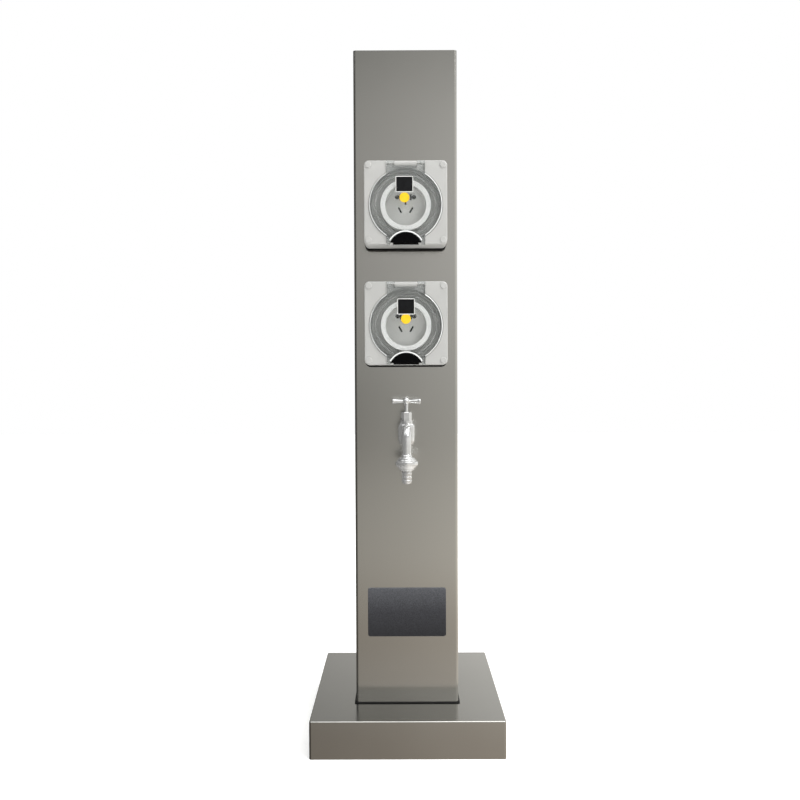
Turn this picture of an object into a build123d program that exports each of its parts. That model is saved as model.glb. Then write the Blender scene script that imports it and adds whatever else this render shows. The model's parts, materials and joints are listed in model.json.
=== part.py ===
from build123d import *
import os

os.makedirs("parts", exist_ok=True)

# Garden socket post: a square stainless column on a low square plinth, with two
# covered sockets, a nameplate and a hose tap on its front.
# The ground is z = 0, the column's axis is x = y = 0 and the front faces -y.

# Driving dimensions in millimetres
post_height = 870.0
column_width = 130.0
column_sheet = 1.5
column_bend = 3.0
plinth_width = 238.0
plinth_height = 46.0
plinth_sheet = 2.0
plinth_bend = 2.6
plinth_edge = 1.2
plate_thickness = 6.0
socket_size = 101.0
sockets_between = 45.0
sockets_drop = 271.0
tap_drop = 213.0
tap_reach = 38.0
spout_reach = 66.0
nameplate_height = 162.6

# Clearances shared by many pieces
overrun = 1.0
fit_gap = 0.3
bore_gap = 0.05
shank_gap = 0.1

socket_pitch = socket_size + sockets_between
sockets_height = post_height - sockets_drop
tap_height = sockets_height - tap_drop
column_half = column_width / 2
column_inside = column_width - 2 * column_sheet
inside_bend = column_bend - column_sheet
front_inside = -column_half + column_sheet
upper_height = sockets_height + socket_pitch / 2
lower_height = sockets_height - socket_pitch / 2
socket_heights = {"upper": upper_height, "lower": lower_height}


def front_at(height, depth=0):
    # Sketch plane parallel to the column's front; depth grows outwards
    return Plane(origin=(0, -column_half - depth, height), x_dir=(1, 0, 0), z_dir=(0, -1, 0))


def level_at(x, y, z):
    return Plane(origin=(x, y, z), x_dir=(1, 0, 0), z_dir=(0, 0, 1))


def rearward_at(x, y, z):
    return Plane(origin=(x, y, z), x_dir=(-1, 0, 0), z_dir=(0, 1, 0))


def keep(piece, name):
    piece.part.label = name
    export_step(piece.part, f"parts/{name}.step")


# Socket layout, shared by the column's cut-outs and every socket piece
screw_inset = 5.2
screw_pitch = socket_size - 2 * screw_inset
screw_radius = 2.0
screw_hole_radius = screw_radius + shank_gap
carrier_radius = 27.0
cutout_radius = 33.0
seal_depth = 6.5
housing_depth = 29.5
face_depth = seal_depth + housing_depth

# Tap layout
tail_radius = 8.33
tail_hole_radius = tail_radius + fit_gap

# Rear service window
panel_margin = 5.0
panel_width = column_width - 2 * panel_margin
panel_overlap = 14.0
window_width = panel_width - 2 * panel_overlap
window_bottom = 80.0
window_above = 30.0
window_top = post_height - window_above
window_corner = 4.0
window_middle = (window_bottom + window_top) / 2
panel_tall = window_top - window_bottom + 2 * panel_overlap
panel_screw_margin = 34.0
panel_screw_count = 4
panel_screw_pitch = (panel_tall - 2 * panel_screw_margin) / (panel_screw_count - 1)
panel_screw_inset = 8.0
panel_screw_spread = window_width + 2 * panel_screw_inset
panel_screw_radius = 1.9

# Earth stud on the left wall
stud_back = 29.5
stud_drop = 43.0
stud_y = front_inside + stud_back
stud_z = sockets_height - stud_drop

# Column: folded sheet with the cut-outs in its front and the window in its back
with BuildPart() as column_shell:
    with BuildSketch(Plane.XY.offset(plate_thickness)):
        RectangleRounded(column_width, column_width, column_bend)
        RectangleRounded(column_inside, column_inside, inside_bend, mode=Mode.SUBTRACT)
    extrude(amount=post_height - plate_thickness)
    for height in socket_heights.values():
        with BuildSketch(front_at(height, overrun)):
            Circle(cutout_radius)
            with GridLocations(screw_pitch, screw_pitch, 2, 2):
                Circle(screw_hole_radius)
        extrude(amount=-(column_sheet + 2 * overrun), mode=Mode.SUBTRACT)
    with BuildSketch(front_at(tap_height, overrun)):
        Circle(tail_hole_radius)
    extrude(amount=-(column_sheet + 2 * overrun), mode=Mode.SUBTRACT)
    with BuildSketch(rearward_at(0, column_half + overrun, window_middle)):
        RectangleRounded(window_width, window_top - window_bottom, window_corner)
        with GridLocations(panel_screw_spread, panel_screw_pitch, 2, panel_screw_count):
            Circle(panel_screw_radius + shank_gap)
    extrude(amount=-(column_sheet + 2 * overrun), mode=Mode.SUBTRACT)
keep(column_shell, "column_shell")

# Top cap: a tray set into the top of the column
cap_flange = 14.0
with BuildPart() as top_cap:
    with BuildSketch(Plane.XY.offset(post_height - cap_flange)):
        RectangleRounded(column_inside, column_inside, inside_bend)
    extrude(amount=cap_flange)
    with BuildSketch(Plane.XY.offset(post_height - cap_flange)):
        Rectangle(column_inside - 2 * column_sheet, column_inside - 2 * column_sheet)
    extrude(amount=cap_flange - column_sheet, mode=Mode.SUBTRACT)
keep(top_cap, "top_cap")

# Rear service panel: a shallow tray over a foam gasket, held by eight screws
panel_corner = 5.0
panel_gasket = 1.5
panel_lip = 1.2
panel_bottom_gap = 0.4
gasket_margin = 0.5
gasket_wide = panel_width - 2 * (column_sheet + gasket_margin)
gasket_tall = panel_tall - 2 * (column_sheet + gasket_margin)
panel_face = column_half + panel_gasket
with BuildPart() as rear_panel_gasket:
    with BuildSketch(rearward_at(0, column_half, window_middle)):
        RectangleRounded(gasket_wide, gasket_tall, panel_corner - column_sheet)
        Rectangle(window_width, window_top - window_bottom, mode=Mode.SUBTRACT)
        with GridLocations(panel_screw_spread, panel_screw_pitch, 2, panel_screw_count):
            Circle(panel_screw_radius + shank_gap, mode=Mode.SUBTRACT)
    extrude(amount=panel_gasket)
keep(rear_panel_gasket, "rear_panel_gasket")

with BuildPart() as rear_panel:
    with BuildSketch(rearward_at(0, column_half + panel_bottom_gap, window_middle)):
        RectangleRounded(panel_width, panel_tall, panel_corner)
    extrude(amount=panel_gasket - panel_bottom_gap + column_sheet)
    with BuildSketch(rearward_at(0, column_half + panel_bottom_gap, window_middle)):
        RectangleRounded(
            panel_width - 2 * column_sheet, panel_tall - 2 * column_sheet, panel_corner - column_sheet
        )
    extrude(amount=panel_gasket - panel_bottom_gap, mode=Mode.SUBTRACT)
    with BuildSketch(rearward_at(0, panel_face - overrun, window_middle)):
        with GridLocations(panel_screw_spread, panel_screw_pitch, 2, panel_screw_count):
            Circle(panel_screw_radius + shank_gap)
    extrude(amount=column_sheet + 2 * overrun, mode=Mode.SUBTRACT)
    fillet(rear_panel.faces().sort_by(Axis.Y)[-1].outer_wire().edges(), panel_lip)
keep(rear_panel, "rear_panel")

panel_screw_head = 3.6
panel_head_height = 2.4
panel_screw_length = 8.0
panel_slot = 1.0
panel_slot_length = 4.6
with BuildPart() as rear_panel_screws:
    with BuildSketch(rearward_at(0, panel_face + column_sheet, window_middle)):
        with GridLocations(panel_screw_spread, panel_screw_pitch, 2, panel_screw_count):
            Circle(panel_screw_head)
    extrude(amount=panel_head_height)
    fillet(rear_panel_screws.faces().group_by(Axis.Y)[-1].edges(), panel_slot)
    with BuildSketch(rearward_at(0, panel_face + column_sheet, window_middle)):
        with GridLocations(panel_screw_spread, panel_screw_pitch, 2, panel_screw_count):
            Circle(panel_screw_radius)
    extrude(amount=-panel_screw_length)
    with BuildSketch(rearward_at(0, panel_face + column_sheet + panel_head_height, window_middle)):
        with GridLocations(panel_screw_spread, panel_screw_pitch, 2, panel_screw_count):
            Rectangle(panel_slot_length, panel_slot)
            Rectangle(panel_slot, panel_slot_length)
    extrude(amount=-panel_slot, mode=Mode.SUBTRACT)
keep(rear_panel_screws, "rear_panel_screws")

# Anchor plate: bolted to the foundation, with the column welded on it
plate_margin = 14.0
plate_width = plinth_width - 2 * (plinth_sheet + plate_margin)
plate_corner = 8.0
anchor_edge = 18.0
anchor_spacing = plate_width - 2 * anchor_edge
anchor_hole_radius = 5.5
entry_margin = 21.5
entry_width = column_inside - 2 * entry_margin
entry_corner = 10.0
with BuildPart() as anchor_plate:
    with BuildSketch():
        RectangleRounded(plate_width, plate_width, plate_corner)
        RectangleRounded(entry_width, entry_width, entry_corner, mode=Mode.SUBTRACT)
        with GridLocations(anchor_spacing, anchor_spacing, 2, 2):
            Circle(anchor_hole_radius, mode=Mode.SUBTRACT)
    extrude(amount=plate_thickness)
keep(anchor_plate, "anchor_plate")

# Plinth cover: a folded box, open below, that slides down over the column
collar_gap = 1.2
with BuildPart() as plinth_cover:
    with BuildSketch():
        RectangleRounded(plinth_width, plinth_width, plinth_bend)
    extrude(amount=plinth_height)
    fillet(plinth_cover.faces().sort_by(Axis.Z)[-1].edges(), plinth_edge)
    with BuildSketch():
        RectangleRounded(
            plinth_width - 2 * plinth_sheet, plinth_width - 2 * plinth_sheet, plinth_bend - plinth_sheet
        )
    extrude(amount=plinth_height - plinth_sheet, mode=Mode.SUBTRACT)
    with BuildSketch():
        Rectangle(column_width + 2 * collar_gap, column_width + 2 * collar_gap)
    extrude(amount=plinth_height + overrun, mode=Mode.SUBTRACT)
keep(plinth_cover, "plinth_cover")

# Base gasket: fills the gap round the column and laps over the plinth's top
gasket_lap = 0.7
gasket_rise = 1.0
with BuildPart() as base_gasket:
    with BuildSketch(Plane.XY.offset(plinth_height - plinth_sheet)):
        Rectangle(column_width + 2 * collar_gap, column_width + 2 * collar_gap)
        RectangleRounded(column_width, column_width, column_bend, mode=Mode.SUBTRACT)
    extrude(amount=plinth_sheet)
    with BuildSketch(Plane.XY.offset(plinth_height)):
        RectangleRounded(
            column_width + 2 * (collar_gap + gasket_lap), column_width + 2 * (collar_gap + gasket_lap), column_bend
        )
        RectangleRounded(column_width, column_width, column_bend, mode=Mode.SUBTRACT)
    extrude(amount=gasket_rise)
keep(base_gasket, "base_gasket")

# Nameplate on the front, near the ground
nameplate_width = 99.0
nameplate_tall = 62.0
nameplate_sheet = 1.2
nameplate_corner = 3.0
nameplate_edge = 0.4
with BuildPart() as nameplate:
    with BuildSketch(front_at(nameplate_height)):
        RectangleRounded(nameplate_width, nameplate_tall, nameplate_corner)
    extrude(amount=nameplate_sheet)
    chamfer(nameplate.faces().sort_by(Axis.Y)[0].edges(), nameplate_edge)
keep(nameplate, "nameplate")

# Sockets. Depths are measured out from the column's front face.
socket_corner = 6.0
housing_wall = 2.5
housing_edge = 1.2
seal_opening = 80.0
seal_lip = 1.8
well_radius = 45.1
well_fall = 2.8
well_floor = 25.0
notch_width = 47.0
notch_start = 35.0
notch_floor = 27.5
boss_radius = 5.0
cap_radius = 4.0
cap_spigot = 3.8
cap_depth = 3.0
cap_dome = 1.2
counterbore_radius = cap_spigot + shank_gap
counterbore_depth = 7.0
hinge_rise = 47.0
hinge_depth = 34.2
knuckle_radius = 3.6
centre_knuckle_radius = 3.3
centre_knuckle_width = 27.0
web_drop = 1.0
pin_radius = 1.5
latch_drop = 48.0
latch_depth = 31.0
lug_radius = 2.2
lug_inner = 15.8
lug_width = 3.4
latch_pin_radius = 1.2
insert_hole_radius = 31.3


def on_side(height, depth):
    # Point of a Plane.YZ sketch at a depth out from the column's front
    return (-column_half - depth, height)


def add_bar(height, depth, radius, start, width, mode=Mode.ADD):
    # Round bar along x, added to or cut from the part being built
    with BuildSketch(Plane.YZ.offset(start)) as section:
        with Locations(on_side(height, depth)):
            Circle(radius)
    extrude(section.sketch, amount=width, mode=mode)


def make_housing(height):
    rear_of_face = face_depth - housing_wall
    notch_end = socket_size / 2
    block_tall = notch_end - housing_wall / 2 - notch_start + housing_wall
    block_at = notch_end - housing_wall / 2 - block_tall / 2
    with BuildPart() as housing:
        with BuildSketch(front_at(height, seal_depth)):
            RectangleRounded(socket_size, socket_size, socket_corner)
        extrude(amount=housing_depth)
        fillet(housing.faces().sort_by(Axis.Y)[0].edges(), housing_edge)
        with BuildSketch(front_at(height, seal_depth)):
            inner = socket_size - 2 * housing_wall
            RectangleRounded(inner, inner, socket_corner - housing_wall)
        extrude(amount=housing_depth - housing_wall, mode=Mode.SUBTRACT)
        with BuildSketch(front_at(height, well_floor - housing_wall)):
            with Locations((0, -well_fall)):
                Circle(well_radius + housing_wall)
            with Locations((0, block_at), (0, -block_at)):
                Rectangle(notch_width + 2 * housing_wall, block_tall)
        extrude(amount=rear_of_face - well_floor + housing_wall)
        with BuildSketch(front_at(height, seal_depth)):
            with GridLocations(screw_pitch, screw_pitch, 2, 2):
                Circle(boss_radius)
        extrude(amount=rear_of_face - seal_depth)
        with BuildSketch(front_at(height, notch_floor)):
            with Locations((0, notch_start + notch_end / 2), (0, -notch_start - notch_end / 2)):
                Rectangle(notch_width, notch_end)
        extrude(amount=face_depth - notch_floor + overrun, mode=Mode.SUBTRACT)
        with BuildSketch(front_at(height - well_fall, well_floor)):
            Circle(well_radius)
        extrude(amount=face_depth - well_floor + overrun, mode=Mode.SUBTRACT)
        with BuildSketch(front_at(height - well_fall, well_floor + overrun)):
            Circle(insert_hole_radius)
        extrude(amount=-(housing_wall + 2 * overrun), mode=Mode.SUBTRACT)
        # Centre knuckle on its web, above the well
        with BuildSketch(front_at(height, well_floor)):
            with Locations((0, hinge_rise + (centre_knuckle_radius - web_drop) / 2)):
                Rectangle(centre_knuckle_width, centre_knuckle_radius + web_drop - housing_wall / 2)
        extrude(amount=hinge_depth - well_floor)
        add_bar(
            height + hinge_rise, hinge_depth, centre_knuckle_radius,
            -centre_knuckle_width / 2, centre_knuckle_width,
        )
        add_bar(
            height + hinge_rise, hinge_depth, pin_radius + bore_gap,
            -centre_knuckle_width / 2 - overrun, centre_knuckle_width + 2 * overrun, Mode.SUBTRACT,
        )
        # Two lugs for the latch pin
        for start in (lug_inner, -lug_inner - lug_width):
            with BuildSketch(Plane.YZ.offset(start)):
                with Locations(on_side(height - latch_drop, (latch_depth + notch_floor) / 2)):
                    Rectangle(latch_depth - notch_floor, 2 * lug_radius)
                with Locations(on_side(height - latch_drop, latch_depth)):
                    Circle(lug_radius)
            extrude(amount=lug_width)
            add_bar(
                height - latch_drop, latch_depth, latch_pin_radius + bore_gap,
                start - overrun, lug_width + 2 * overrun, Mode.SUBTRACT,
            )
        with BuildSketch(front_at(height, seal_depth - overrun)):
            with GridLocations(screw_pitch, screw_pitch, 2, 2):
                Circle(screw_hole_radius)
        extrude(amount=housing_depth + 2 * overrun, mode=Mode.SUBTRACT)
        with BuildSketch(front_at(height, face_depth - counterbore_depth)):
            with GridLocations(screw_pitch, screw_pitch, 2, 2):
                Circle(counterbore_radius)
        extrude(amount=counterbore_depth + overrun, mode=Mode.SUBTRACT)
    return housing


# Socket insert: face plate with the pin slots inside a round collar
insert_flange_radius = 35.0
insert_plate = 3.0
collar_outer = 31.0
collar_inner = 24.5
collar_height = 10.0
collar_round = 1.2
insert_rear = well_floor - housing_wall - insert_plate
insert_face = insert_rear + insert_plate
slot_length = 8.0
slot_width = 2.2
slant = 30
live_side = 6.9
live_drop = 6.4
earth_rise = 3.9
twin_rise = 9.4
twin_flat = 6.35
twin_round = 10.2
twin_round_radius = 2.8
slots = {"live": (live_side, -live_drop, -slant), "neutral": (-live_side, -live_drop, slant)}


def make_insert(height):
    with BuildPart() as insert:
        with BuildSketch(front_at(height - well_fall, insert_rear)):
            Circle(insert_flange_radius)
        extrude(amount=insert_plate)
        with BuildSketch(front_at(height - well_fall, insert_face)):
            Circle(collar_outer)
            Circle(collar_inner, mode=Mode.SUBTRACT)
        extrude(amount=collar_height)
        fillet(insert.faces().sort_by(Axis.Y)[0].edges(), collar_round)
        with BuildSketch(front_at(height, insert_rear - overrun)):
            for x, y, turn in slots.values():
                with Locations(Location((x, y, 0), (0, 0, turn))):
                    Rectangle(slot_width, slot_length)
            with Locations((0, earth_rise)):
                Rectangle(slot_width, slot_length)
            for side in (-1, 1):
                with Locations((side * twin_flat, twin_rise)):
                    Rectangle(slot_width, slot_length)
                with Locations((side * (twin_flat + twin_round) / 2, twin_rise)):
                    Rectangle(twin_round - twin_flat, slot_width)
                with Locations((side * twin_round, twin_rise)):
                    Circle(twin_round_radius)
        extrude(amount=insert_plate + 2 * overrun, mode=Mode.SUBTRACT)
    return insert


# Contact carrier: a cup behind the insert, through the column's cut-out
carrier_rear = -20.0
carrier_wall = 2.2
lead_diameter = 5.0
lead_x = -12.0
earth_lead_diameter = 2.8
clip_wall = 0.9
clip_gap = 0.4
shutter_sheet = 1.5
shutter_travel = 4.5
clip_top = insert_rear - shutter_sheet - 3 * fit_gap
strap_depth = 4.0
terminal_side = 9.1
terminal_width = 6.2
terminal_length = 21.2
earth_terminal = 12.0


def make_carrier(height):
    with BuildPart() as carrier:
        with BuildSketch(front_at(height, carrier_rear)):
            Circle(carrier_radius)
        extrude(amount=insert_rear - carrier_rear)
        with BuildSketch(front_at(height, carrier_rear + carrier_wall)):
            Circle(carrier_radius - carrier_wall)
        extrude(amount=insert_rear - carrier_rear, mode=Mode.SUBTRACT)
        with BuildSketch(front_at(height, carrier_rear - overrun)):
            with Locations((lead_x, 0)):
                Circle(lead_diameter / 2 + shank_gap)
        extrude(amount=carrier_wall + 2 * overrun, mode=Mode.SUBTRACT)
    return carrier


def make_contacts(height):
    # Three sprung brass clips; live and neutral also serve the twin holes above
    floor = carrier_rear + carrier_wall
    clip_wide = slot_width + 2 * clip_wall
    clip_long = slot_length + 2 * clip_wall
    with BuildPart() as contacts:
        for x, y, turn in slots.values():
            side = 1 if x > 0 else -1
            with BuildSketch(front_at(height, strap_depth)):
                with Locations(Location((x, y, 0), (0, 0, turn))):
                    Rectangle(clip_wide, clip_long)
                with Locations((side * twin_round, twin_rise)):
                    Rectangle(clip_long, clip_long)
            extrude(amount=clip_top - strap_depth)
            with BuildSketch(front_at(height, floor)):
                with Locations((side * terminal_side, 0)):
                    Rectangle(terminal_width, terminal_length)
            extrude(amount=strap_depth - floor)
            with BuildSketch(front_at(height, strap_depth)):
                with Locations(Location((x, y, 0), (0, 0, turn))):
                    Rectangle(slot_width - clip_gap, slot_length)
                with Locations((side * twin_round, twin_rise)):
                    Circle(twin_round_radius - clip_gap)
            extrude(amount=clip_top - strap_depth + overrun, mode=Mode.SUBTRACT)
        with BuildSketch(front_at(height, strap_depth)):
            with Locations((0, earth_rise)):
                Rectangle(clip_wide, clip_long)
                Rectangle(slot_width - clip_gap, slot_length, mode=Mode.SUBTRACT)
        extrude(amount=clip_top - strap_depth)
        with BuildSketch(front_at(height, floor)):
            with Locations((0, earth_rise)):
                Rectangle(clip_wide, earth_terminal)
        extrude(amount=strap_depth - floor)
    return contacts


shutter_width = 30.0
shutter_tall = 9.6


def make_shutter(height):
    # Sliding blind behind the live and neutral slots; the pins push it aside
    rear = insert_rear - shutter_sheet - fit_gap
    with BuildPart() as shutter:
        with BuildSketch(front_at(height, rear)):
            with Locations((0, -live_drop)):
                Rectangle(shutter_width, shutter_tall)
            for x, y, turn in slots.values():
                with Locations(Location((x - shutter_travel, y, 0), (0, 0, turn))):
                    Rectangle(slot_width, slot_length, mode=Mode.SUBTRACT)
        extrude(amount=shutter_sheet)
    return shutter


# Clear lid over the well
lid_proud = 2.0
lid_radius = 44.5
lid_rim_inner = 41.5
lid_rim_rear = 28.0
lid_plate = 2.3
lid_dish = 0.5
lid_edge = 1.4
lid_front = face_depth + lid_proud
tab_width = notch_width - 2 * fit_gap
shoulder_rear = 34.0
shoulder_start = 34.0
boss_gap = 0.4
boss_rear = latch_depth + lug_radius + boss_gap
boss_start = 38.0
knuckle_gap = 0.4
window_radius = 21.5
window_drop = 57.5
hinge_clear = 4.0


def make_lid(height):
    knuckle_start = centre_knuckle_width / 2 + knuckle_gap
    knuckle_width = tab_width / 2 - knuckle_start
    half_socket = socket_size / 2
    with BuildPart() as lid:
        with BuildSketch(front_at(height - well_fall, lid_rim_rear)):
            Circle(lid_radius)
        extrude(amount=lid_front - lid_rim_rear)
        fillet(lid.faces().sort_by(Axis.Y)[0].edges(), lid_edge)
        with BuildSketch(front_at(height, shoulder_rear)):
            with Locations((0, (shoulder_start + hinge_rise) / 2)):
                Rectangle(tab_width, hinge_rise - shoulder_start)
        extrude(amount=lid_front - shoulder_rear)
        with BuildSketch(front_at(height, boss_rear)):
            with Locations((0, -(boss_start + half_socket) / 2)):
                Rectangle(tab_width, half_socket - boss_start)
        extrude(amount=lid_front - boss_rear)
        for start in (knuckle_start, -knuckle_start - knuckle_width):
            add_bar(height + hinge_rise, hinge_depth, knuckle_radius, start, knuckle_width)
        # Hollow behind the front plate, and the shallow dish in front of it
        with BuildSketch(front_at(height - well_fall, lid_rim_rear)):
            Circle(lid_rim_inner)
        extrude(amount=lid_front - lid_dish - lid_plate - lid_rim_rear, mode=Mode.SUBTRACT)
        with BuildSketch(front_at(height - well_fall, lid_front)):
            Circle(lid_rim_inner - lid_dish)
        extrude(amount=-lid_dish, mode=Mode.SUBTRACT)
        # Clear of the housing's centre knuckle
        with BuildSketch(front_at(height, lid_rim_rear)):
            with Locations((0, hinge_rise)):
                Rectangle(centre_knuckle_width + 2 * knuckle_gap, 2 * hinge_clear)
        extrude(amount=lid_front - lid_rim_rear + overrun, mode=Mode.SUBTRACT)
        add_bar(
            height + hinge_rise, hinge_depth, pin_radius + bore_gap,
            -tab_width / 2 - overrun, tab_width + 2 * overrun, Mode.SUBTRACT,
        )
        # Arched window round the latch
        with BuildSketch(front_at(height, lid_rim_rear - overrun)):
            with Locations((0, -window_drop)):
                Circle(window_radius)
        extrude(amount=lid_front - lid_rim_rear + 2 * overrun, mode=Mode.SUBTRACT)
    return lid


lid_seal_outer = 30.6
lid_seal_inner = 25.0


def make_lid_seal(height):
    with BuildPart() as lid_seal:
        with BuildSketch(front_at(height - well_fall, insert_face + collar_height + fit_gap)):
            Circle(lid_seal_outer)
            Circle(lid_seal_inner, mode=Mode.SUBTRACT)
        seal_top = lid_front - lid_dish - lid_plate
        extrude(amount=seal_top - insert_face - collar_height - fit_gap)
        fillet(lid_seal.faces().sort_by(Axis.Y)[-1].edges(), lid_dish)
    return lid_seal


# Latch: a half-round black lever on a cross pin below the lid
latch_gap = 0.5
latch_radius = window_radius - latch_gap
latch_chord = 48.5
latch_rise = 2.5
latch_rear = latch_depth + latch_rise
latch_edge = 0.8
latch_barrel = 2 * (lug_inner - knuckle_gap)


def make_latch(height):
    web = latch_chord - latch_drop
    with BuildPart() as latch:
        with BuildSketch(front_at(height, latch_rear)):
            with Locations((0, -window_drop)):
                Circle(latch_radius)
            with Locations((0, -latch_chord - latch_radius)):
                Rectangle(4 * latch_radius, 2 * latch_radius, mode=Mode.SUBTRACT)
        extrude(amount=lid_front - latch_rear)
        fillet(latch.faces().sort_by(Axis.Y)[0].edges(), latch_edge)
        with BuildSketch(front_at(height, latch_depth)):
            with Locations((0, -latch_drop + (lug_radius - web) / 2)):
                Rectangle(latch_barrel, lug_radius + web)
        extrude(amount=latch_rear - latch_depth)
        add_bar(height - latch_drop, latch_depth, lug_radius, -latch_barrel / 2, latch_barrel)
        add_bar(
            height - latch_drop, latch_depth, latch_pin_radius + bore_gap,
            -latch_barrel / 2 - overrun, latch_barrel + 2 * overrun, Mode.SUBTRACT,
        )
    return latch


for name, height in socket_heights.items():
    keep(make_housing(height), f"{name}_housing")
    keep(make_insert(height), f"{name}_insert")
    keep(make_carrier(height), f"{name}_carrier")
    keep(make_contacts(height), f"{name}_contacts")
    keep(make_shutter(height), f"{name}_shutter")
    keep(make_lid(height), f"{name}_lid")
    keep(make_lid_seal(height), f"{name}_lid_seal")
    keep(make_latch(height), f"{name}_latch")

with BuildPart() as socket_seals:
    for height in socket_heights.values():
        with BuildSketch(front_at(height)):
            with Locations((0, 0), (0, -seal_lip)):
                RectangleRounded(socket_size, socket_size, socket_corner)
            RectangleRounded(seal_opening, seal_opening, socket_corner, mode=Mode.SUBTRACT)
            with GridLocations(screw_pitch, screw_pitch, 2, 2):
                Circle(screw_hole_radius, mode=Mode.SUBTRACT)
        extrude(amount=seal_depth)
keep(socket_seals, "socket_seals")

with BuildPart() as hinge_pins:
    for height in socket_heights.values():
        add_bar(height + hinge_rise, hinge_depth, pin_radius, -tab_width / 2, tab_width)
keep(hinge_pins, "hinge_pins")

latch_pin_width = 2 * (lug_inner + lug_width)
with BuildPart() as latch_pins:
    for height in socket_heights.values():
        add_bar(height - latch_drop, latch_depth, latch_pin_radius, -latch_pin_width / 2, latch_pin_width)
keep(latch_pins, "latch_pins")

# Socket fixings: cap screws from the front, nuts behind the sheet, push-in caps
screw_head_radius = 3.4
screw_head_height = 3.0
screw_tail = 6.5
nut_height = 3.2
nut_half_flats = 3.5
with BuildPart() as socket_screws:
    for height in socket_heights.values():
        with BuildSketch(front_at(height, face_depth - counterbore_depth)):
            with GridLocations(screw_pitch, screw_pitch, 2, 2):
                Circle(screw_head_radius)
        extrude(amount=screw_head_height)
        with BuildSketch(front_at(height, face_depth - counterbore_depth)):
            with GridLocations(screw_pitch, screw_pitch, 2, 2):
                Circle(screw_radius)
        extrude(amount=-(face_depth - counterbore_depth + screw_tail))
keep(socket_screws, "socket_screws")

with BuildPart() as socket_nuts:
    for height in socket_heights.values():
        with BuildSketch(front_at(height, -column_sheet)):
            with GridLocations(screw_pitch, screw_pitch, 2, 2):
                RegularPolygon(nut_half_flats, 6, major_radius=False)
                Circle(screw_hole_radius, mode=Mode.SUBTRACT)
        extrude(amount=-nut_height)
keep(socket_nuts, "socket_nuts")

with BuildPart() as screw_caps:
    for height in socket_heights.values():
        with BuildSketch(front_at(height, face_depth)):
            with GridLocations(screw_pitch, screw_pitch, 2, 2):
                Circle(cap_radius)
        extrude(amount=cap_dome)
    fillet(screw_caps.faces().group_by(Axis.Y)[0].edges(), cap_dome - shank_gap)
    for height in socket_heights.values():
        with BuildSketch(front_at(height, face_depth)):
            with GridLocations(screw_pitch, screw_pitch, 2, 2):
                Circle(cap_spigot)
        extrude(amount=-cap_depth)
keep(screw_caps, "screw_caps")

# Terminal box on the inside of the front, between the sockets
box_width = 80.0
box_tall = 70.0
box_depth = 44.0
box_wall = 2.0
box_corner = 3.0
box_lid = 2.5
box_rear = front_inside + box_depth
gland_x = 22.0
gland_back = 29.5
gland_y = front_inside + gland_back
gland_hole_radius = 8.1
fixing_inset = 12.0
fixing_spread = box_width - 2 * fixing_inset
fixing_radius = 2.0
lead_offset = 13.0
with BuildPart() as terminal_box:
    with BuildSketch(rearward_at(0, front_inside, sockets_height)):
        RectangleRounded(box_width, box_tall, box_corner)
    extrude(amount=box_depth)
    with BuildSketch(rearward_at(0, front_inside + box_wall, sockets_height)):
        Rectangle(box_width - 2 * box_wall, box_tall - 2 * box_wall)
    extrude(amount=box_depth, mode=Mode.SUBTRACT)
    with BuildSketch(level_at(gland_x, gland_y, sockets_height - box_tall / 2 - overrun)):
        Circle(gland_hole_radius)
    extrude(amount=box_wall + 2 * overrun, mode=Mode.SUBTRACT)
    with BuildSketch(rearward_at(0, front_inside - overrun, sockets_height)):
        with GridLocations(fixing_spread, fixing_spread, 2, 1):
            Circle(fixing_radius + shank_gap)
    extrude(amount=box_wall + 2 * overrun, mode=Mode.SUBTRACT)
    with BuildSketch(Plane.YZ.offset(-box_width / 2 - overrun)):
        with Locations((stud_y, sockets_height)):
            Circle(earth_lead_diameter / 2 + shank_gap)
    extrude(amount=box_wall + 2 * overrun, mode=Mode.SUBTRACT)
keep(terminal_box, "terminal_box")

with BuildPart() as terminal_box_lid:
    with BuildSketch(rearward_at(0, box_rear, sockets_height)):
        RectangleRounded(box_width, box_tall, box_corner)
    extrude(amount=box_lid)
    with BuildSketch(rearward_at(0, box_rear, sockets_height)):
        Rectangle(box_width - 2 * box_wall - fit_gap, box_tall - 2 * box_wall - fit_gap)
    extrude(amount=-box_lid)
    with BuildSketch(rearward_at(0, box_rear - box_lid - overrun, sockets_height)):
        with Locations((-lead_x, lead_offset), (-lead_x, -lead_offset)):
            Circle(lead_diameter / 2 + shank_gap)
    extrude(amount=2 * box_lid + 2 * overrun, mode=Mode.SUBTRACT)
keep(terminal_box_lid, "terminal_box_lid")

fixing_length = 9.0
with BuildPart() as box_fixings:
    with BuildSketch(rearward_at(0, front_inside, sockets_height)):
        with GridLocations(fixing_spread, fixing_spread, 2, 1):
            Circle(fixing_radius)
    extrude(amount=fixing_length)
    with BuildSketch(rearward_at(0, front_inside + box_wall, sockets_height)):
        with GridLocations(fixing_spread, fixing_spread, 2, 1):
            RegularPolygon(nut_half_flats, 6, major_radius=False)
    extrude(amount=nut_height)
keep(box_fixings, "box_fixings")

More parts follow.
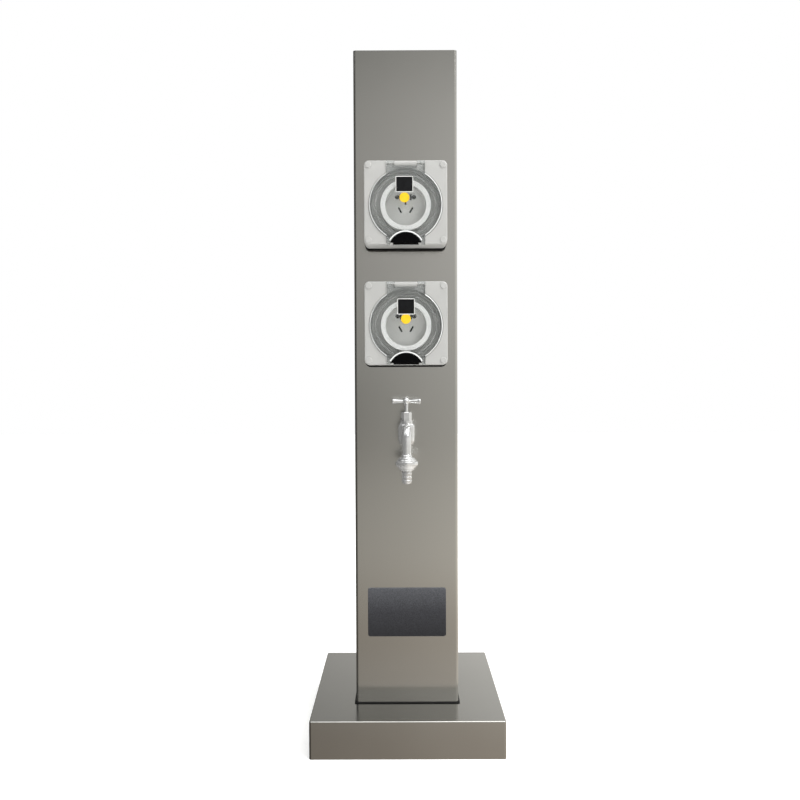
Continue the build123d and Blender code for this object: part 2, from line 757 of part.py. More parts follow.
strip_width = 46.0
strip_tall = 16.0
strip_depth = 14.0
strip_poles = 4
strip_edge = 1.0
strip_pitch = (strip_width - 2 * strip_edge) / strip_poles
strip_bore = 1.7
strip_drop = 12.0
with BuildPart() as terminal_strip:
    with BuildSketch(rearward_at(0, front_inside + box_wall, sockets_height - strip_drop)):
        Rectangle(strip_width, strip_tall)
    extrude(amount=strip_depth)
    with BuildSketch(rearward_at(0, front_inside + box_wall + strip_depth, sockets_height - strip_drop)):
        with GridLocations(strip_pitch, strip_tall / 2, strip_poles, 2):
            Circle(strip_bore)
    extrude(amount=-strip_depth / 2, mode=Mode.SUBTRACT)
    with BuildSketch(level_at(0, front_inside + box_wall + strip_depth / 3, sockets_height - strip_drop - strip_tall)):
        with GridLocations(strip_pitch, strip_pitch, strip_poles, 1):
            Circle(strip_bore)
    extrude(amount=2 * strip_tall, mode=Mode.SUBTRACT)
keep(terminal_strip, "terminal_strip")

# Cable gland under the terminal box
gland_thread_radius = gland_hole_radius - shank_gap
gland_bore = 5.0
gland_hex = 9.0
gland_hex_height = 5.0
gland_dome = 11.0
gland_dome_radius = 8.4
gland_round = 2.5
gland_nut_height = 4.5
gland_under = sockets_height - box_tall / 2
with BuildPart() as supply_gland_body:
    with BuildSketch(level_at(gland_x, gland_y, gland_under)):
        RegularPolygon(gland_hex, 6, major_radius=False)
    extrude(amount=-gland_hex_height)
    with BuildSketch(level_at(gland_x, gland_y, gland_under - gland_hex_height)):
        Circle(gland_dome_radius)
    extrude(amount=-gland_dome)
    fillet(supply_gland_body.faces().sort_by(Axis.Z)[0].edges(), gland_round)
    with BuildSketch(level_at(gland_x, gland_y, gland_under)):
        Circle(gland_thread_radius)
    extrude(amount=box_wall + gland_nut_height + overrun)
    with BuildSketch(level_at(gland_x, gland_y, gland_under - gland_hex_height - gland_dome - overrun)):
        Circle(gland_bore)
    extrude(amount=2 * (gland_hex_height + gland_dome + gland_nut_height), mode=Mode.SUBTRACT)
keep(supply_gland_body, "supply_gland_body")

with BuildPart() as supply_gland_nut:
    with BuildSketch(level_at(gland_x, gland_y, gland_under + box_wall)):
        RegularPolygon(gland_hex + overrun, 6, major_radius=False)
        Circle(gland_hole_radius, mode=Mode.SUBTRACT)
    extrude(amount=gland_nut_height)
keep(supply_gland_nut, "supply_gland_nut")

# Leads that the post holds all the way, each from the terminal box to its socket or stud
lead_start = box_rear - box_lid
lead_reach = 34.5
lead_loop = lead_start + lead_reach
lead_end = -column_half - carrier_rear - carrier_wall
earth_lead_side = 6.5
earth_lead_rise = 10.0
earth_lead_x = -column_half + column_sheet + earth_lead_side


def socket_lead_points(offset, height):
    leave = sockets_height + offset
    return [
        (lead_x, lead_start, leave), (lead_x, lead_loop, leave),
        (lead_x, lead_loop, height), (lead_x, lead_end, height),
    ]


upper_lead_points = socket_lead_points(lead_offset, upper_height)
lower_lead_points = socket_lead_points(-lead_offset, lower_height)
earth_lead_points = [
    (earth_lead_x, stud_y, stud_z + earth_lead_rise),
    (earth_lead_x, stud_y, sockets_height),
    (-box_width / 2 + box_wall, stud_y, sockets_height),
]
bend_share = 0.45


def lead_radii(points):
    # Each bend is as large as its share of the shorter run allows
    radii = []
    for before, corner, after in zip(points, points[1:], points[2:]):
        back = Vector(*before) - Vector(*corner)
        ahead = Vector(*after) - Vector(*corner)
        turn = 180 - back.get_angle(ahead)
        half_turn = Vector(1, 0, 0).rotate(Axis.Z, turn / 2)
        radii.append(bend_share * min(back.length, ahead.length) * half_turn.X / half_turn.Y)
    return radii


def make_lead(points, diameter):
    radii = lead_radii(points)
    print("lead radii", [round(radius, 1) for radius in radii])
    start, second = Vector(*points[0]), Vector(*points[1])
    with BuildPart() as lead:
        with BuildLine() as route:
            FilletPolyline(*points, radius=radii)
        with BuildSketch(Plane(origin=start, z_dir=second - start)):
            Circle(diameter / 2)
        sweep(path=route.wires()[0])
    return lead


keep(make_lead(upper_lead_points, lead_diameter), "upper_lead")
keep(make_lead(lower_lead_points, lead_diameter), "lower_lead")
keep(make_lead(earth_lead_points, earth_lead_diameter), "earth_lead")

# Earth stud welded to the left wall, its nut and the lead's lug
stud_radius = 3.0
stud_length = 16.0
stud_nut_height = 5.0
stud_half_flats = 5.0
lug_sheet = 1.5
lug_ring_radius = 6.0
lug_barrel_radius = 2.6
wall_inside = -column_half + column_sheet
lead_lug_x = earth_lead_points[0][0]
lug_face = lead_lug_x - lug_sheet / 2
with BuildPart() as earth_stud:
    with BuildSketch(Plane.YZ.offset(wall_inside)):
        with Locations((stud_y, stud_z)):
            Circle(stud_radius)
    extrude(amount=stud_length)
    with BuildSketch(Plane.YZ.offset(wall_inside)):
        with Locations((stud_y, stud_z)):
            RegularPolygon(stud_half_flats, 6, major_radius=False)
    extrude(amount=lug_face - wall_inside)
keep(earth_stud, "earth_stud")

with BuildPart() as earth_nut:
    with BuildSketch(Plane.YZ.offset(lug_face + lug_sheet)):
        with Locations((stud_y, stud_z)):
            RegularPolygon(stud_half_flats, 6, major_radius=False)
            Circle(stud_radius + shank_gap, mode=Mode.SUBTRACT)
    extrude(amount=stud_nut_height)
keep(earth_nut, "earth_nut")

with BuildPart() as earth_lug:
    with BuildSketch(Plane.YZ.offset(lug_face)):
        with Locations((stud_y, stud_z)):
            Circle(lug_ring_radius)
        with Locations((stud_y, (stud_z + earth_lead_points[0][2]) / 2)):
            Rectangle(2 * lug_barrel_radius, earth_lead_points[0][2] - stud_z)
        with Locations((stud_y, stud_z)):
            Circle(stud_radius + shank_gap, mode=Mode.SUBTRACT)
    extrude(amount=lug_sheet)
keep(earth_lug, "earth_lug")

# Hose tap: valve chamber, spout and the tail through the column
tail_length = 24.0
shoulder_radius = 10.4
shoulder_length = 3.0
inlet_radius = 8.4
inlet_bore = 4.5
chamber_radius = 10.25
chamber_rise = 18.0
chamber_drop = 10.2
chamber_top = tap_height + chamber_rise
chamber_bottom = tap_height - chamber_drop
chamber_round = 8.0
lower_bore = 6.5
lower_drop = 5.0
lower_bottom = tap_height - lower_drop
seat_rise = 2.5
seat_sheet = 2.5
seat_bottom = tap_height + seat_rise
seat_top = seat_bottom + seat_sheet
seat_bore = 4.0
upper_bore = 7.0
bonnet_thread = 8.0
bonnet_deep = 4.5
bonnet_seat = chamber_top - bonnet_deep
port_radius = 2.8
port_drop = 3.2
port_height = bonnet_seat - port_drop
spout_radius = 5.4
spout_bore = 3.8
spout_drop = 0.4
spout_height = chamber_top - spout_drop - spout_radius
spout_bend = 14.0
spout_fall = 32.2
spout_end = spout_height - spout_fall
neck_radius = 6.5
neck_height = 6.0
thread_radius = 9.6
thread_height = 11.0
valve_y = -column_half - tap_reach
spout_y = -column_half - spout_reach
with BuildPart() as tap_body:
    with BuildSketch(level_at(0, valve_y, chamber_bottom)):
        Circle(chamber_radius)
    extrude(amount=chamber_top - chamber_bottom)
    fillet(tap_body.faces().sort_by(Axis.Z)[0].edges(), chamber_round)
    with BuildSketch(front_at(tap_height, -tail_length)):
        Circle(tail_radius)
    extrude(amount=tail_length)
    with BuildSketch(front_at(tap_height)):
        Circle(shoulder_radius)
    extrude(amount=shoulder_length)
    with BuildSketch(front_at(tap_height)):
        Circle(inlet_radius)
    extrude(amount=tap_reach)
    with BuildLine():
        spout_line = FilletPolyline(
            (0, valve_y, spout_height), (0, spout_y, spout_height), (0, spout_y, spout_end),
            radius=spout_bend,
        )
    with BuildSketch(Plane(origin=(0, valve_y, spout_height), z_dir=(0, -1, 0))):
        Circle(spout_radius)
    sweep(path=spout_line)
    with BuildSketch(level_at(0, spout_y, spout_end)):
        Circle(neck_radius)
    extrude(amount=neck_height)
    with BuildSketch(level_at(0, spout_y, spout_end)):
        Circle(thread_radius)
    extrude(amount=-thread_height)
    # Waterway: inlet, lower chamber, seat, upper chamber, port and spout
    with BuildSketch(front_at(tap_height, -tail_length - overrun)):
        Circle(inlet_bore)
    extrude(amount=tail_length + overrun + tap_reach - lower_bore + overrun, mode=Mode.SUBTRACT)
    with BuildSketch(level_at(0, valve_y, lower_bottom)):
        Circle(lower_bore)
    extrude(amount=seat_bottom - lower_bottom, mode=Mode.SUBTRACT)
    with BuildSketch(level_at(0, valve_y, lower_bottom)):
        Circle(seat_bore)
    extrude(amount=chamber_top - lower_bottom, mode=Mode.SUBTRACT)
    with BuildSketch(level_at(0, valve_y, seat_top)):
        Circle(upper_bore)
    extrude(amount=chamber_top - seat_top, mode=Mode.SUBTRACT)
    with BuildSketch(level_at(0, valve_y, bonnet_seat)):
        Circle(bonnet_thread)
    extrude(amount=chamber_top - bonnet_seat + overrun, mode=Mode.SUBTRACT)
    with BuildSketch(front_at(port_height, tap_reach)):
        Circle(port_radius)
    extrude(amount=chamber_radius + spout_radius, mode=Mode.SUBTRACT)
    with BuildLine():
        bore_line = FilletPolyline(
            (0, valve_y - chamber_radius, spout_height), (0, spout_y, spout_height),
            (0, spout_y, spout_end - thread_height - overrun), radius=spout_bend,
        )
    with BuildSketch(Plane(origin=(0, valve_y - chamber_radius, spout_height), z_dir=(0, -1, 0))):
        Circle(spout_bore)
    sweep(path=bore_line, mode=Mode.SUBTRACT)
keep(tap_body, "tap_body")

# Bonnet with its neck, then the gland nut and packing round the spindle
bonnet_flange_radius = 7.75
bonnet_flange = 3.5
neck_thread = 4.9
neck_rise = 8.5
neck_top = chamber_top + bonnet_flange + neck_rise
spindle_thread = 4.0
spindle_radius = 2.2
shoulder_drop = 5.5
shoulder_level = neck_top - shoulder_drop
neck_web = 1.0
packing_bottom = shoulder_level + neck_web
packing_radius = 4.3
packing_drop = 0.5
packing_top = neck_top - packing_drop
gland_nut_roof = 2.0
gland_nut_top = neck_top + gland_nut_roof
with BuildPart() as tap_bonnet:
    with BuildSketch(level_at(0, valve_y, bonnet_seat)):
        Circle(bonnet_thread - bore_gap)
    extrude(amount=chamber_top - bonnet_seat)
    with BuildSketch(level_at(0, valve_y, chamber_top)):
        Circle(bonnet_flange_radius)
    extrude(amount=bonnet_flange)
    with BuildSketch(level_at(0, valve_y, chamber_top + bonnet_flange)):
        Circle(neck_thread)
    extrude(amount=neck_top - chamber_top - bonnet_flange)
    with BuildSketch(level_at(0, valve_y, bonnet_seat - overrun)):
        Circle(spindle_thread + bore_gap)
    extrude(amount=shoulder_level - bonnet_seat + overrun, mode=Mode.SUBTRACT)
    with BuildSketch(level_at(0, valve_y, bonnet_seat)):
        Circle(spindle_radius + bore_gap)
    extrude(amount=neck_top - bonnet_seat + overrun, mode=Mode.SUBTRACT)
    with BuildSketch(level_at(0, valve_y, packing_bottom)):
        Circle(packing_radius)
    extrude(amount=neck_top - packing_bottom + overrun, mode=Mode.SUBTRACT)
keep(tap_bonnet, "tap_bonnet")

gland_nut_half = 5.5
gland_chamfer = 0.6
with BuildPart() as gland_nut:
    with BuildSketch(level_at(0, valve_y, chamber_top + bonnet_flange)):
        RegularPolygon(gland_nut_half, 6, major_radius=False)
    extrude(amount=gland_nut_top - chamber_top - bonnet_flange)
    chamfer(gland_nut.faces().sort_by(Axis.Z)[-1].edges(), gland_chamfer)
    with BuildSketch(level_at(0, valve_y, chamber_top)):
        Circle(neck_thread + bore_gap)
    extrude(amount=neck_top - chamber_top, mode=Mode.SUBTRACT)
    with BuildSketch(level_at(0, valve_y, chamber_top)):
        Circle(spindle_radius + bore_gap)
    extrude(amount=gland_nut_top - chamber_top + overrun, mode=Mode.SUBTRACT)
keep(gland_nut, "gland_nut")

with BuildPart() as gland_packing:
    with BuildSketch(level_at(0, valve_y, packing_bottom)):
        Circle(packing_radius)
        Circle(spindle_radius + bore_gap, mode=Mode.SUBTRACT)
    extrude(amount=packing_top - packing_bottom)
keep(gland_packing, "gland_packing")

# Spindle with the handle on top and the jumper valve in its lower end
disc_radius = 6.2
disc_thickness = 2.2
washer_thickness = 2.2
washer_radius = 5.8
seat_gap = 0.2
stem_radius = 1.8
stem_length = 7.4
washer_bottom = seat_top + seat_gap
disc_bottom = washer_bottom + washer_thickness
disc_top = disc_bottom + disc_thickness
spindle_bottom = disc_top + fit_gap
handle_rise = 13.0
handle_height = gland_nut_top + handle_rise
hub_radius = 4.25
hub_under = 3.3
hub_over = 4.4
hub_bottom = handle_height - hub_under
hub_top = handle_height + hub_over
hub_wall = 2.0
hub_round = 1.6
thread_under = 4.5
thread_top = shoulder_level - thread_under
with BuildPart() as spindle:
    with BuildSketch(level_at(0, valve_y, spindle_bottom)):
        Circle(spindle_thread)
    extrude(amount=thread_top - spindle_bottom)
    with BuildSketch(level_at(0, valve_y, spindle_bottom)):
        Circle(spindle_radius)
    extrude(amount=hub_top - hub_wall - spindle_bottom)
    with BuildSketch(level_at(0, valve_y, spindle_bottom)):
        Circle(stem_radius + bore_gap)
    extrude(amount=stem_length + fit_gap, mode=Mode.SUBTRACT)
keep(spindle, "spindle")

bar_radius = 2.8
bar_length = 34.5
bar_end_radius = 3.4
bar_end = 2.0
bar_end_round = 0.8
with BuildPart() as tap_handle:
    with BuildSketch(level_at(0, valve_y, hub_bottom)):
        Circle(hub_radius)
    extrude(amount=hub_top - hub_bottom)
    fillet(tap_handle.faces().sort_by(Axis.Z)[-1].edges(), hub_round)
    with BuildSketch(Plane.YZ.offset(-bar_length / 2)):
        with Locations((valve_y, handle_height)):
            Circle(bar_radius)
    extrude(amount=bar_length)
    for start in (-bar_length / 2, bar_length / 2 - bar_end):
        with BuildSketch(Plane.YZ.offset(start)):
            with Locations((valve_y, handle_height)):
                Circle(bar_end_radius)
        extrude(amount=bar_end)
    fillet(tap_handle.faces().sort_by(Axis.X)[0].edges(), bar_end_round)
    fillet(tap_handle.faces().sort_by(Axis.X)[-1].edges(), bar_end_round)
    with BuildSketch(level_at(0, valve_y, hub_bottom - overrun)):
        Circle(spindle_radius)
    extrude(amount=hub_top - hub_wall - hub_bottom + overrun, mode=Mode.SUBTRACT)
keep(tap_handle, "tap_handle")

with BuildPart() as jumper_valve:
    with BuildSketch(level_at(0, valve_y, disc_bottom)):
        Circle(disc_radius)
    extrude(amount=disc_thickness)
    with BuildSketch(level_at(0, valve_y, disc_top)):
        Circle(stem_radius)
    extrude(amount=stem_length)
keep(jumper_valve, "jumper_valve")

with BuildPart() as valve_washer:
    with BuildSketch(level_at(0, valve_y, washer_bottom)):
        Circle(washer_radius)
    extrude(amount=washer_thickness)
keep(valve_washer, "valve_washer")

# Hose union: nut, washer and barbed tail under the spout
nut_radius = 13.5
nut_lip = 1.7
nut_waist = 12.0
nut_foot = 9.4
nut_bore_gap = 0.1
nut_ring = 4.5
tail_washer_sheet = 1.5
tail_flange = 2.0
tail_bore = 4.0
barb_radius = 6.4
barb_waist = 5.6
barb_count = 3
barb_length = 4.4
tail_drop = 16.9
washer_top = spout_end - thread_height
flange_top = washer_top - tail_washer_sheet
flange_bottom = flange_top - tail_flange
barb_end = flange_bottom - tail_drop
nut_bottom = flange_bottom - nut_lip
with BuildPart() as union_nut:
    with BuildSketch(Plane.YZ):
        with BuildLine():
            Polyline(
                (spout_y, nut_bottom),
                (spout_y + nut_foot, nut_bottom),
                (spout_y + nut_waist, nut_bottom + nut_ring),
                (spout_y + nut_radius, nut_bottom + nut_ring + nut_lip),
                (spout_y + nut_radius, spout_end - nut_ring),
                (spout_y + nut_waist, spout_end - nut_ring + nut_lip),
                (spout_y + nut_waist, spout_end),
                (spout_y, spout_end),
                close=True,
            )
        make_face()
    revolve(axis=Axis((0, spout_y, 0), (0, 0, 1)))
    with BuildSketch(level_at(0, spout_y, flange_bottom)):
        Circle(thread_radius + nut_bore_gap)
    extrude(amount=spout_end - flange_bottom + overrun, mode=Mode.SUBTRACT)
    with BuildSketch(level_at(0, spout_y, nut_bottom - overrun)):
        Circle(barb_radius + nut_bore_gap)
    extrude(amount=nut_lip + 2 * overrun, mode=Mode.SUBTRACT)
keep(union_nut, "union_nut")

with BuildPart() as tail_washer:
    with BuildSketch(level_at(0, spout_y, flange_top)):
        Circle(thread_radius)
        Circle(tail_bore, mode=Mode.SUBTRACT)
    extrude(amount=tail_washer_sheet)
keep(tail_washer, "tail_washer")

with BuildPart() as hose_tail:
    with BuildSketch(level_at(0, spout_y, flange_bottom)):
        Circle(thread_radius)
    extrude(amount=tail_flange)
    with BuildSketch(level_at(0, spout_y, barb_end)):
        Circle(barb_waist)
    extrude(amount=flange_bottom - barb_end)
    with BuildSketch(level_at(0, spout_y, flange_bottom)):
        Circle(barb_radius)
    extrude(amount=-(nut_lip + nut_lip))
    for index in range(barb_count):
        foot = barb_end + index * barb_length
        with BuildSketch(Plane.YZ):
            with BuildLine():
                Polyline(
                    (spout_y, foot),
                    (spout_y + barb_waist, foot),
                    (spout_y + barb_radius, foot + barb_length - nut_lip),
                    (spout_y + barb_radius, foot + barb_length - overrun),
                    (spout_y, foot + barb_length - overrun),
                    close=True,
                )
            make_face()
        revolve(axis=Axis((0, spout_y, 0), (0, 0, 1)))
    with BuildSketch(level_at(0, spout_y, barb_end - overrun)):
        Circle(tail_bore)
    extrude(amount=flange_top - barb_end + 2 * overrun, mode=Mode.SUBTRACT)
keep(hose_tail, "hose_tail")

# Inside the column: washer and backnut on the tail, elbow, riser pipe and inlet
washer_sheet = 1.5
washer_outer = 12.5
backnut_height = 6.0
backnut_half = 12.0
with BuildPart() as tap_washer:
    with BuildSketch(front_at(tap_height, -column_sheet)):
        Circle(washer_outer)
        Circle(tail_radius + nut_bore_gap, mode=Mode.SUBTRACT)
    extrude(amount=-washer_sheet)
keep(tap_washer, "tap_washer")

with BuildPart() as tap_backnut:
    with BuildSketch(front_at(tap_height, -column_sheet - washer_sheet)):
        RegularPolygon(backnut_half, 6, major_radius=False)
        Circle(tail_radius + nut_bore_gap, mode=Mode.SUBTRACT)
    extrude(amount=-backnut_height)
keep(tap_backnut, "tap_backnut")

riser_back = 39.5
riser_y = front_inside + riser_back
riser_radius = 7.5
riser_wall = 1.0
riser_bottom = 44.0
elbow_reach = 26.0
elbow_mouth = riser_y - elbow_reach
elbow_outer = 11.5
elbow_bore = 6.0
elbow_drop = 20.0
elbow_bottom = tap_height - elbow_drop
riser_drop = 10.0
riser_top = tap_height - riser_drop
with BuildPart() as tap_elbow:
    with BuildSketch(level_at(0, riser_y, elbow_bottom)):
        Circle(elbow_outer)
    extrude(amount=tap_height - elbow_bottom)
    with Locations((0, riser_y, tap_height)):
        Sphere(elbow_outer)
    with BuildSketch(Plane(origin=(0, riser_y, tap_height), z_dir=(0, -1, 0))):
        Circle(elbow_outer)
    extrude(amount=riser_y - elbow_mouth)
    with BuildSketch(level_at(0, riser_y, elbow_bottom - overrun)):
        Circle(riser_radius + bore_gap)
    extrude(amount=riser_top - elbow_bottom + overrun, mode=Mode.SUBTRACT)
    with BuildSketch(level_at(0, riser_y, riser_top)):
        Circle(elbow_bore)
    extrude(amount=tap_height - riser_top, mode=Mode.SUBTRACT)
    with Locations((0, riser_y, tap_height)):
        Sphere(elbow_bore, mode=Mode.SUBTRACT)
    with BuildSketch(Plane(origin=(0, riser_y, tap_height), z_dir=(0, -1, 0))):
        Circle(elbow_bore)
    extrude(amount=riser_y - elbow_mouth, mode=Mode.SUBTRACT)
    with BuildSketch(Plane(origin=(0, elbow_mouth - overrun, tap_height), z_dir=(0, 1, 0))):
        Circle(tail_radius + nut_bore_gap)
    extrude(amount=tail_length - column_half - elbow_mouth + overrun, mode=Mode.SUBTRACT)
keep(tap_elbow, "tap_elbow")

with BuildPart() as riser_pipe:
    with BuildSketch(level_at(0, riser_y, riser_bottom)):
        Circle(riser_radius)
        Circle(riser_radius - riser_wall, mode=Mode.SUBTRACT)
    extrude(amount=riser_top - riser_bottom)
keep(riser_pipe, "riser_pipe")

inlet_bottom = 14.0
inlet_thread_radius = 10.48
inlet_thread_length = 14.0
inlet_hex = 13.5
inlet_hex_height = 8.0
inlet_socket_radius = 10.0
inlet_top = 56.0
with BuildPart() as inlet_fitting:
    with BuildSketch(level_at(0, riser_y, inlet_bottom)):
        Circle(inlet_thread_radius)
    extrude(amount=inlet_thread_length)
    with BuildSketch(level_at(0, riser_y, inlet_bottom + inlet_thread_length)):
        RegularPolygon(inlet_hex, 6, major_radius=False)
    extrude(amount=inlet_hex_height)
    with BuildSketch(level_at(0, riser_y, inlet_bottom + inlet_thread_length + inlet_hex_height)):
        Circle(inlet_socket_radius)
    extrude(amount=inlet_top - inlet_bottom - inlet_thread_length - inlet_hex_height)
    with BuildSketch(level_at(0, riser_y, inlet_bottom - overrun)):
        Circle(elbow_bore)
    extrude(amount=inlet_top - inlet_bottom, mode=Mode.SUBTRACT)
    with BuildSketch(level_at(0, riser_y, riser_bottom)):
        Circle(riser_radius + bore_gap)
    extrude(amount=inlet_top - riser_bottom + overrun, mode=Mode.SUBTRACT)
keep(inlet_fitting, "inlet_fitting")

clip_drop = 156.0
clip_height = tap_height - clip_drop
clip_tall = 12.0
clip_ring = 2.0
clip_arm = 10.0
clip_foot_width = 34.0
clip_foot = 2.0
with BuildPart() as pipe_clip:
    with BuildSketch(level_at(0, 0, clip_height - clip_tall / 2)):
        with Locations((0, riser_y)):
            Circle(riser_radius + clip_ring)
        with Locations((0, (riser_y + front_inside) / 2)):
            Rectangle(clip_arm, riser_y - front_inside)
        with Locations((0, front_inside + clip_foot / 2)):
            Rectangle(clip_foot_width, clip_foot)
        with Locations((0, riser_y)):
            Circle(riser_radius + bore_gap, mode=Mode.SUBTRACT)
    extrude(amount=clip_tall)
keep(pipe_clip, "pipe_clip")
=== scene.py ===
import json
import math
import bmesh
import bpy
from mathutils import Matrix, Vector


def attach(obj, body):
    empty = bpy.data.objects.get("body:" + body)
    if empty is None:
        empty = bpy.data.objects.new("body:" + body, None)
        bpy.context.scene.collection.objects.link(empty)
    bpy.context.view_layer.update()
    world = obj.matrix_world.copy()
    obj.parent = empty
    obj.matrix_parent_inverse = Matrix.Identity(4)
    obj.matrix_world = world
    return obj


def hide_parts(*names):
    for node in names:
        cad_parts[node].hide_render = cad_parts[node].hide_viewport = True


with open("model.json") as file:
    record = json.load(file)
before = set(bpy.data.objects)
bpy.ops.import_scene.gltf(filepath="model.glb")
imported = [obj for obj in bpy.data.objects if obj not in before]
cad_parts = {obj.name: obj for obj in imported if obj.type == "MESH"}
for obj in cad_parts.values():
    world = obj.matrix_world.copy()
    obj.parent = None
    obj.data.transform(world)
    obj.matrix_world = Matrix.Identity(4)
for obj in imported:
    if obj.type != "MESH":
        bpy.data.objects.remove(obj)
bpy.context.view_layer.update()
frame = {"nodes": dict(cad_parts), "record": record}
nodes = frame["nodes"]
scene = bpy.context.scene
mm = 0.001
# the column's front face stands this many millimetres before the origin
front = 65
# vertices nearer than this are one
weld = 0.002 * mm


def linear(hexText):
    # sRGB hex to linear colour
    channels = [int(hexText[i:i + 2], 16) / 255 for i in (1, 3, 5)]
    return [c / 12.92 if c <= 0.04045 else ((c + 0.055) / 1.055) ** 2.4 for c in channels] + [1.0]


def addNode(tree, kind, settings=None, links=None):
    # settings go to the node or its sockets, links run from (node, output) to a socket
    node = tree.nodes.new(kind)
    for name, value in (settings or {}).items():
        if isinstance(name, int) or name in node.inputs:
            node.inputs[name].default_value = value
        else:
            setattr(node, name, value)
    for name, (source, output) in (links or {}).items():
        tree.links.new(source.outputs[output], node.inputs[name])
    return node


def newMaterial(name, settings):
    # a principled material with its object coordinates at hand
    made = bpy.data.materials.new(name)
    made.use_nodes = True
    tree = made.node_tree
    shader = tree.nodes["Principled BSDF"]
    for key, value in settings.items():
        shader.inputs[key].default_value = value
    place = addNode(tree, "ShaderNodeTexCoord")
    return made, tree, shader, place


def addRamp(tree, source, output, stops):
    # colours at positions along a pattern's value
    node = addNode(tree, "ShaderNodeValToRGB", links={"Fac": (source, output)})
    while len(node.color_ramp.elements) < len(stops):
        node.color_ramp.elements.new(0.5)
    for element, (position, colour) in zip(node.color_ramp.elements, stops):
        element.position = position
        element.color = linear(colour) if isinstance(colour, str) else [colour] * 3 + [1.0]
    return node


def addGrain(tree, place, size, stretch=(1, 1, 1), detail=3.0, roughness=0.5):
    # noise whose blotches are about that size in metres, drawn out along an axis by stretch under 1
    spread = addNode(tree, "ShaderNodeMapping", {"Scale": stretch}, {"Vector": (place, "Object")})
    return addNode(
        tree, "ShaderNodeTexNoise", {"Scale": 1 / size, "Detail": detail, "Roughness": roughness},
        {"Vector": (spread, "Vector")},
    )


def addBump(tree, shader, source, output, strength, depth):
    # relief of that depth in metres, from a pattern's value
    bump = addNode(
        tree, "ShaderNodeBump", {"Strength": strength, "Distance": depth}, {"Height": (source, output)}
    )
    tree.links.new(bump.outputs["Normal"], shader.inputs["Normal"])


def multiplied(tree, first, second):
    # product of two colours, each given as a node and its output
    node = addNode(tree, "ShaderNodeMix", {"data_type": "RGBA", "blend_type": "MULTIPLY", "Factor": 1.0})
    tree.links.new(first[0].outputs[first[1]], node.inputs[6])
    tree.links.new(second[0].outputs[second[1]], node.inputs[7])
    return node, 2


def varied(name, base, low, high, rough, grainSize, settings=None, bump=None, stretch=(1, 1, 1)):
    # a finish whose colour runs between low and high hex, and whose roughness runs between two values
    made, tree, shader, place = newMaterial(name, {"Base Color": linear(base), **(settings or {})})
    grain = addGrain(tree, place, grainSize, stretch)
    tint = addRamp(tree, grain, "Fac", [(0.3, low), (0.7, high)])
    tree.links.new(tint.outputs["Color"], shader.inputs["Base Color"])
    gloss = addNode(
        tree, "ShaderNodeMapRange", {"From Min": 0.3, "From Max": 0.7, "To Min": rough[0], "To Max": rough[1]},
        {"Value": (grain, "Fac")},
    )
    tree.links.new(gloss.outputs["Result"], shader.inputs["Roughness"])
    if bump:
        size, strength, depth = bump
        fine = addGrain(tree, place, size, stretch, detail=2.0)
        addBump(tree, shader, fine, "Fac", strength, depth)
    return made


# place in metres, angles in degrees, lens and film in millimetres
view = {
    "place": (-0.006, -1.026, 0.4503), "pitch": -1.1, "roll": -0.23, "yaw": 0.11, "lens": 34.23, "film": 36.0,
    "near": 0.02,
}
cameraData = bpy.data.cameras.new("postCamera")
cameraData.lens = view["lens"]
cameraData.sensor_width = view["film"]
cameraData.clip_start = view["near"]
postCamera = bpy.data.objects.new("postCamera", cameraData)
scene.collection.objects.link(postCamera)
turn = Matrix.Rotation(math.radians(view["yaw"]), 4, "Z")
turn @= Matrix.Rotation(math.radians(90 + view["pitch"]), 4, "X")
turn @= Matrix.Rotation(math.radians(view["roll"]), 4, "Z")
postCamera.matrix_world = Matrix.Translation(view["place"]) @ turn
scene.camera = postCamera
scene.view_settings.view_transform = "Standard"

# The studio as the steel sees it. Stops run along a direction's height, its side and its depth, each from 0 to 1.
studio = {
    "heights": [
        (0.0, "#D8D4CE"), (0.24, "#A8A096"), (0.287, "#8E857B"), (0.306, "#A5A098"), (0.314, "#B3B0AB"),
        (0.322, "#BFBBB4"), (0.331, "#AEA79E"), (0.34, "#A49B90"), (0.36, "#B4ADA3"), (0.382, "#C7C3BB"),
        (0.42, "#C0BDB6"), (0.47, "#ADABA6"), (0.5, "#B3B2AE"), (0.58, "#C0BFBC"), (0.663, "#BCBBB8"),
        (0.685, "#B3B2AF"), (0.697, "#92918E"), (0.72, "#8E8E8B"), (0.78, "#A8A8A6"), (0.88, "#F4F4F2"),
    ],
    "sides": [
        (0.0, 0.1), (0.22, 0.16), (0.38, 0.34), (0.44, 0.5), (0.5, 0.64), (0.56, 0.86), (0.62, 0.98), (0.8, 1.0),
    ],
    "depths": [(0.0, 0.77), (0.45, 0.77), (0.6, 1.0), (1.0, 0.9)],
    "shade": {"towards": (-0.09, -1.0, -0.045), "near": 0.03, "far": 0.1, "dark": 0.62},
    "level": 1.9,
}
world = bpy.data.worlds.new("studio")
world.use_nodes = True
scene.world = world
tree = world.node_tree
tree.nodes.clear()
look = addNode(tree, "ShaderNodeTexCoord")
axes = addNode(tree, "ShaderNodeSeparateXYZ", links={"Vector": (look, "Generated")})
tone = None
for axis, stops in (("Z", studio["heights"]), ("X", studio["sides"]), ("Y", studio["depths"])):
    along = addNode(tree, "ShaderNodeMapRange", {"From Min": -1.0}, {"Value": (axes, axis)})
    ramp = addRamp(tree, along, "Result", stops)
    tone = multiplied(tree, tone, (ramp, "Color")) if tone else (ramp, "Color")
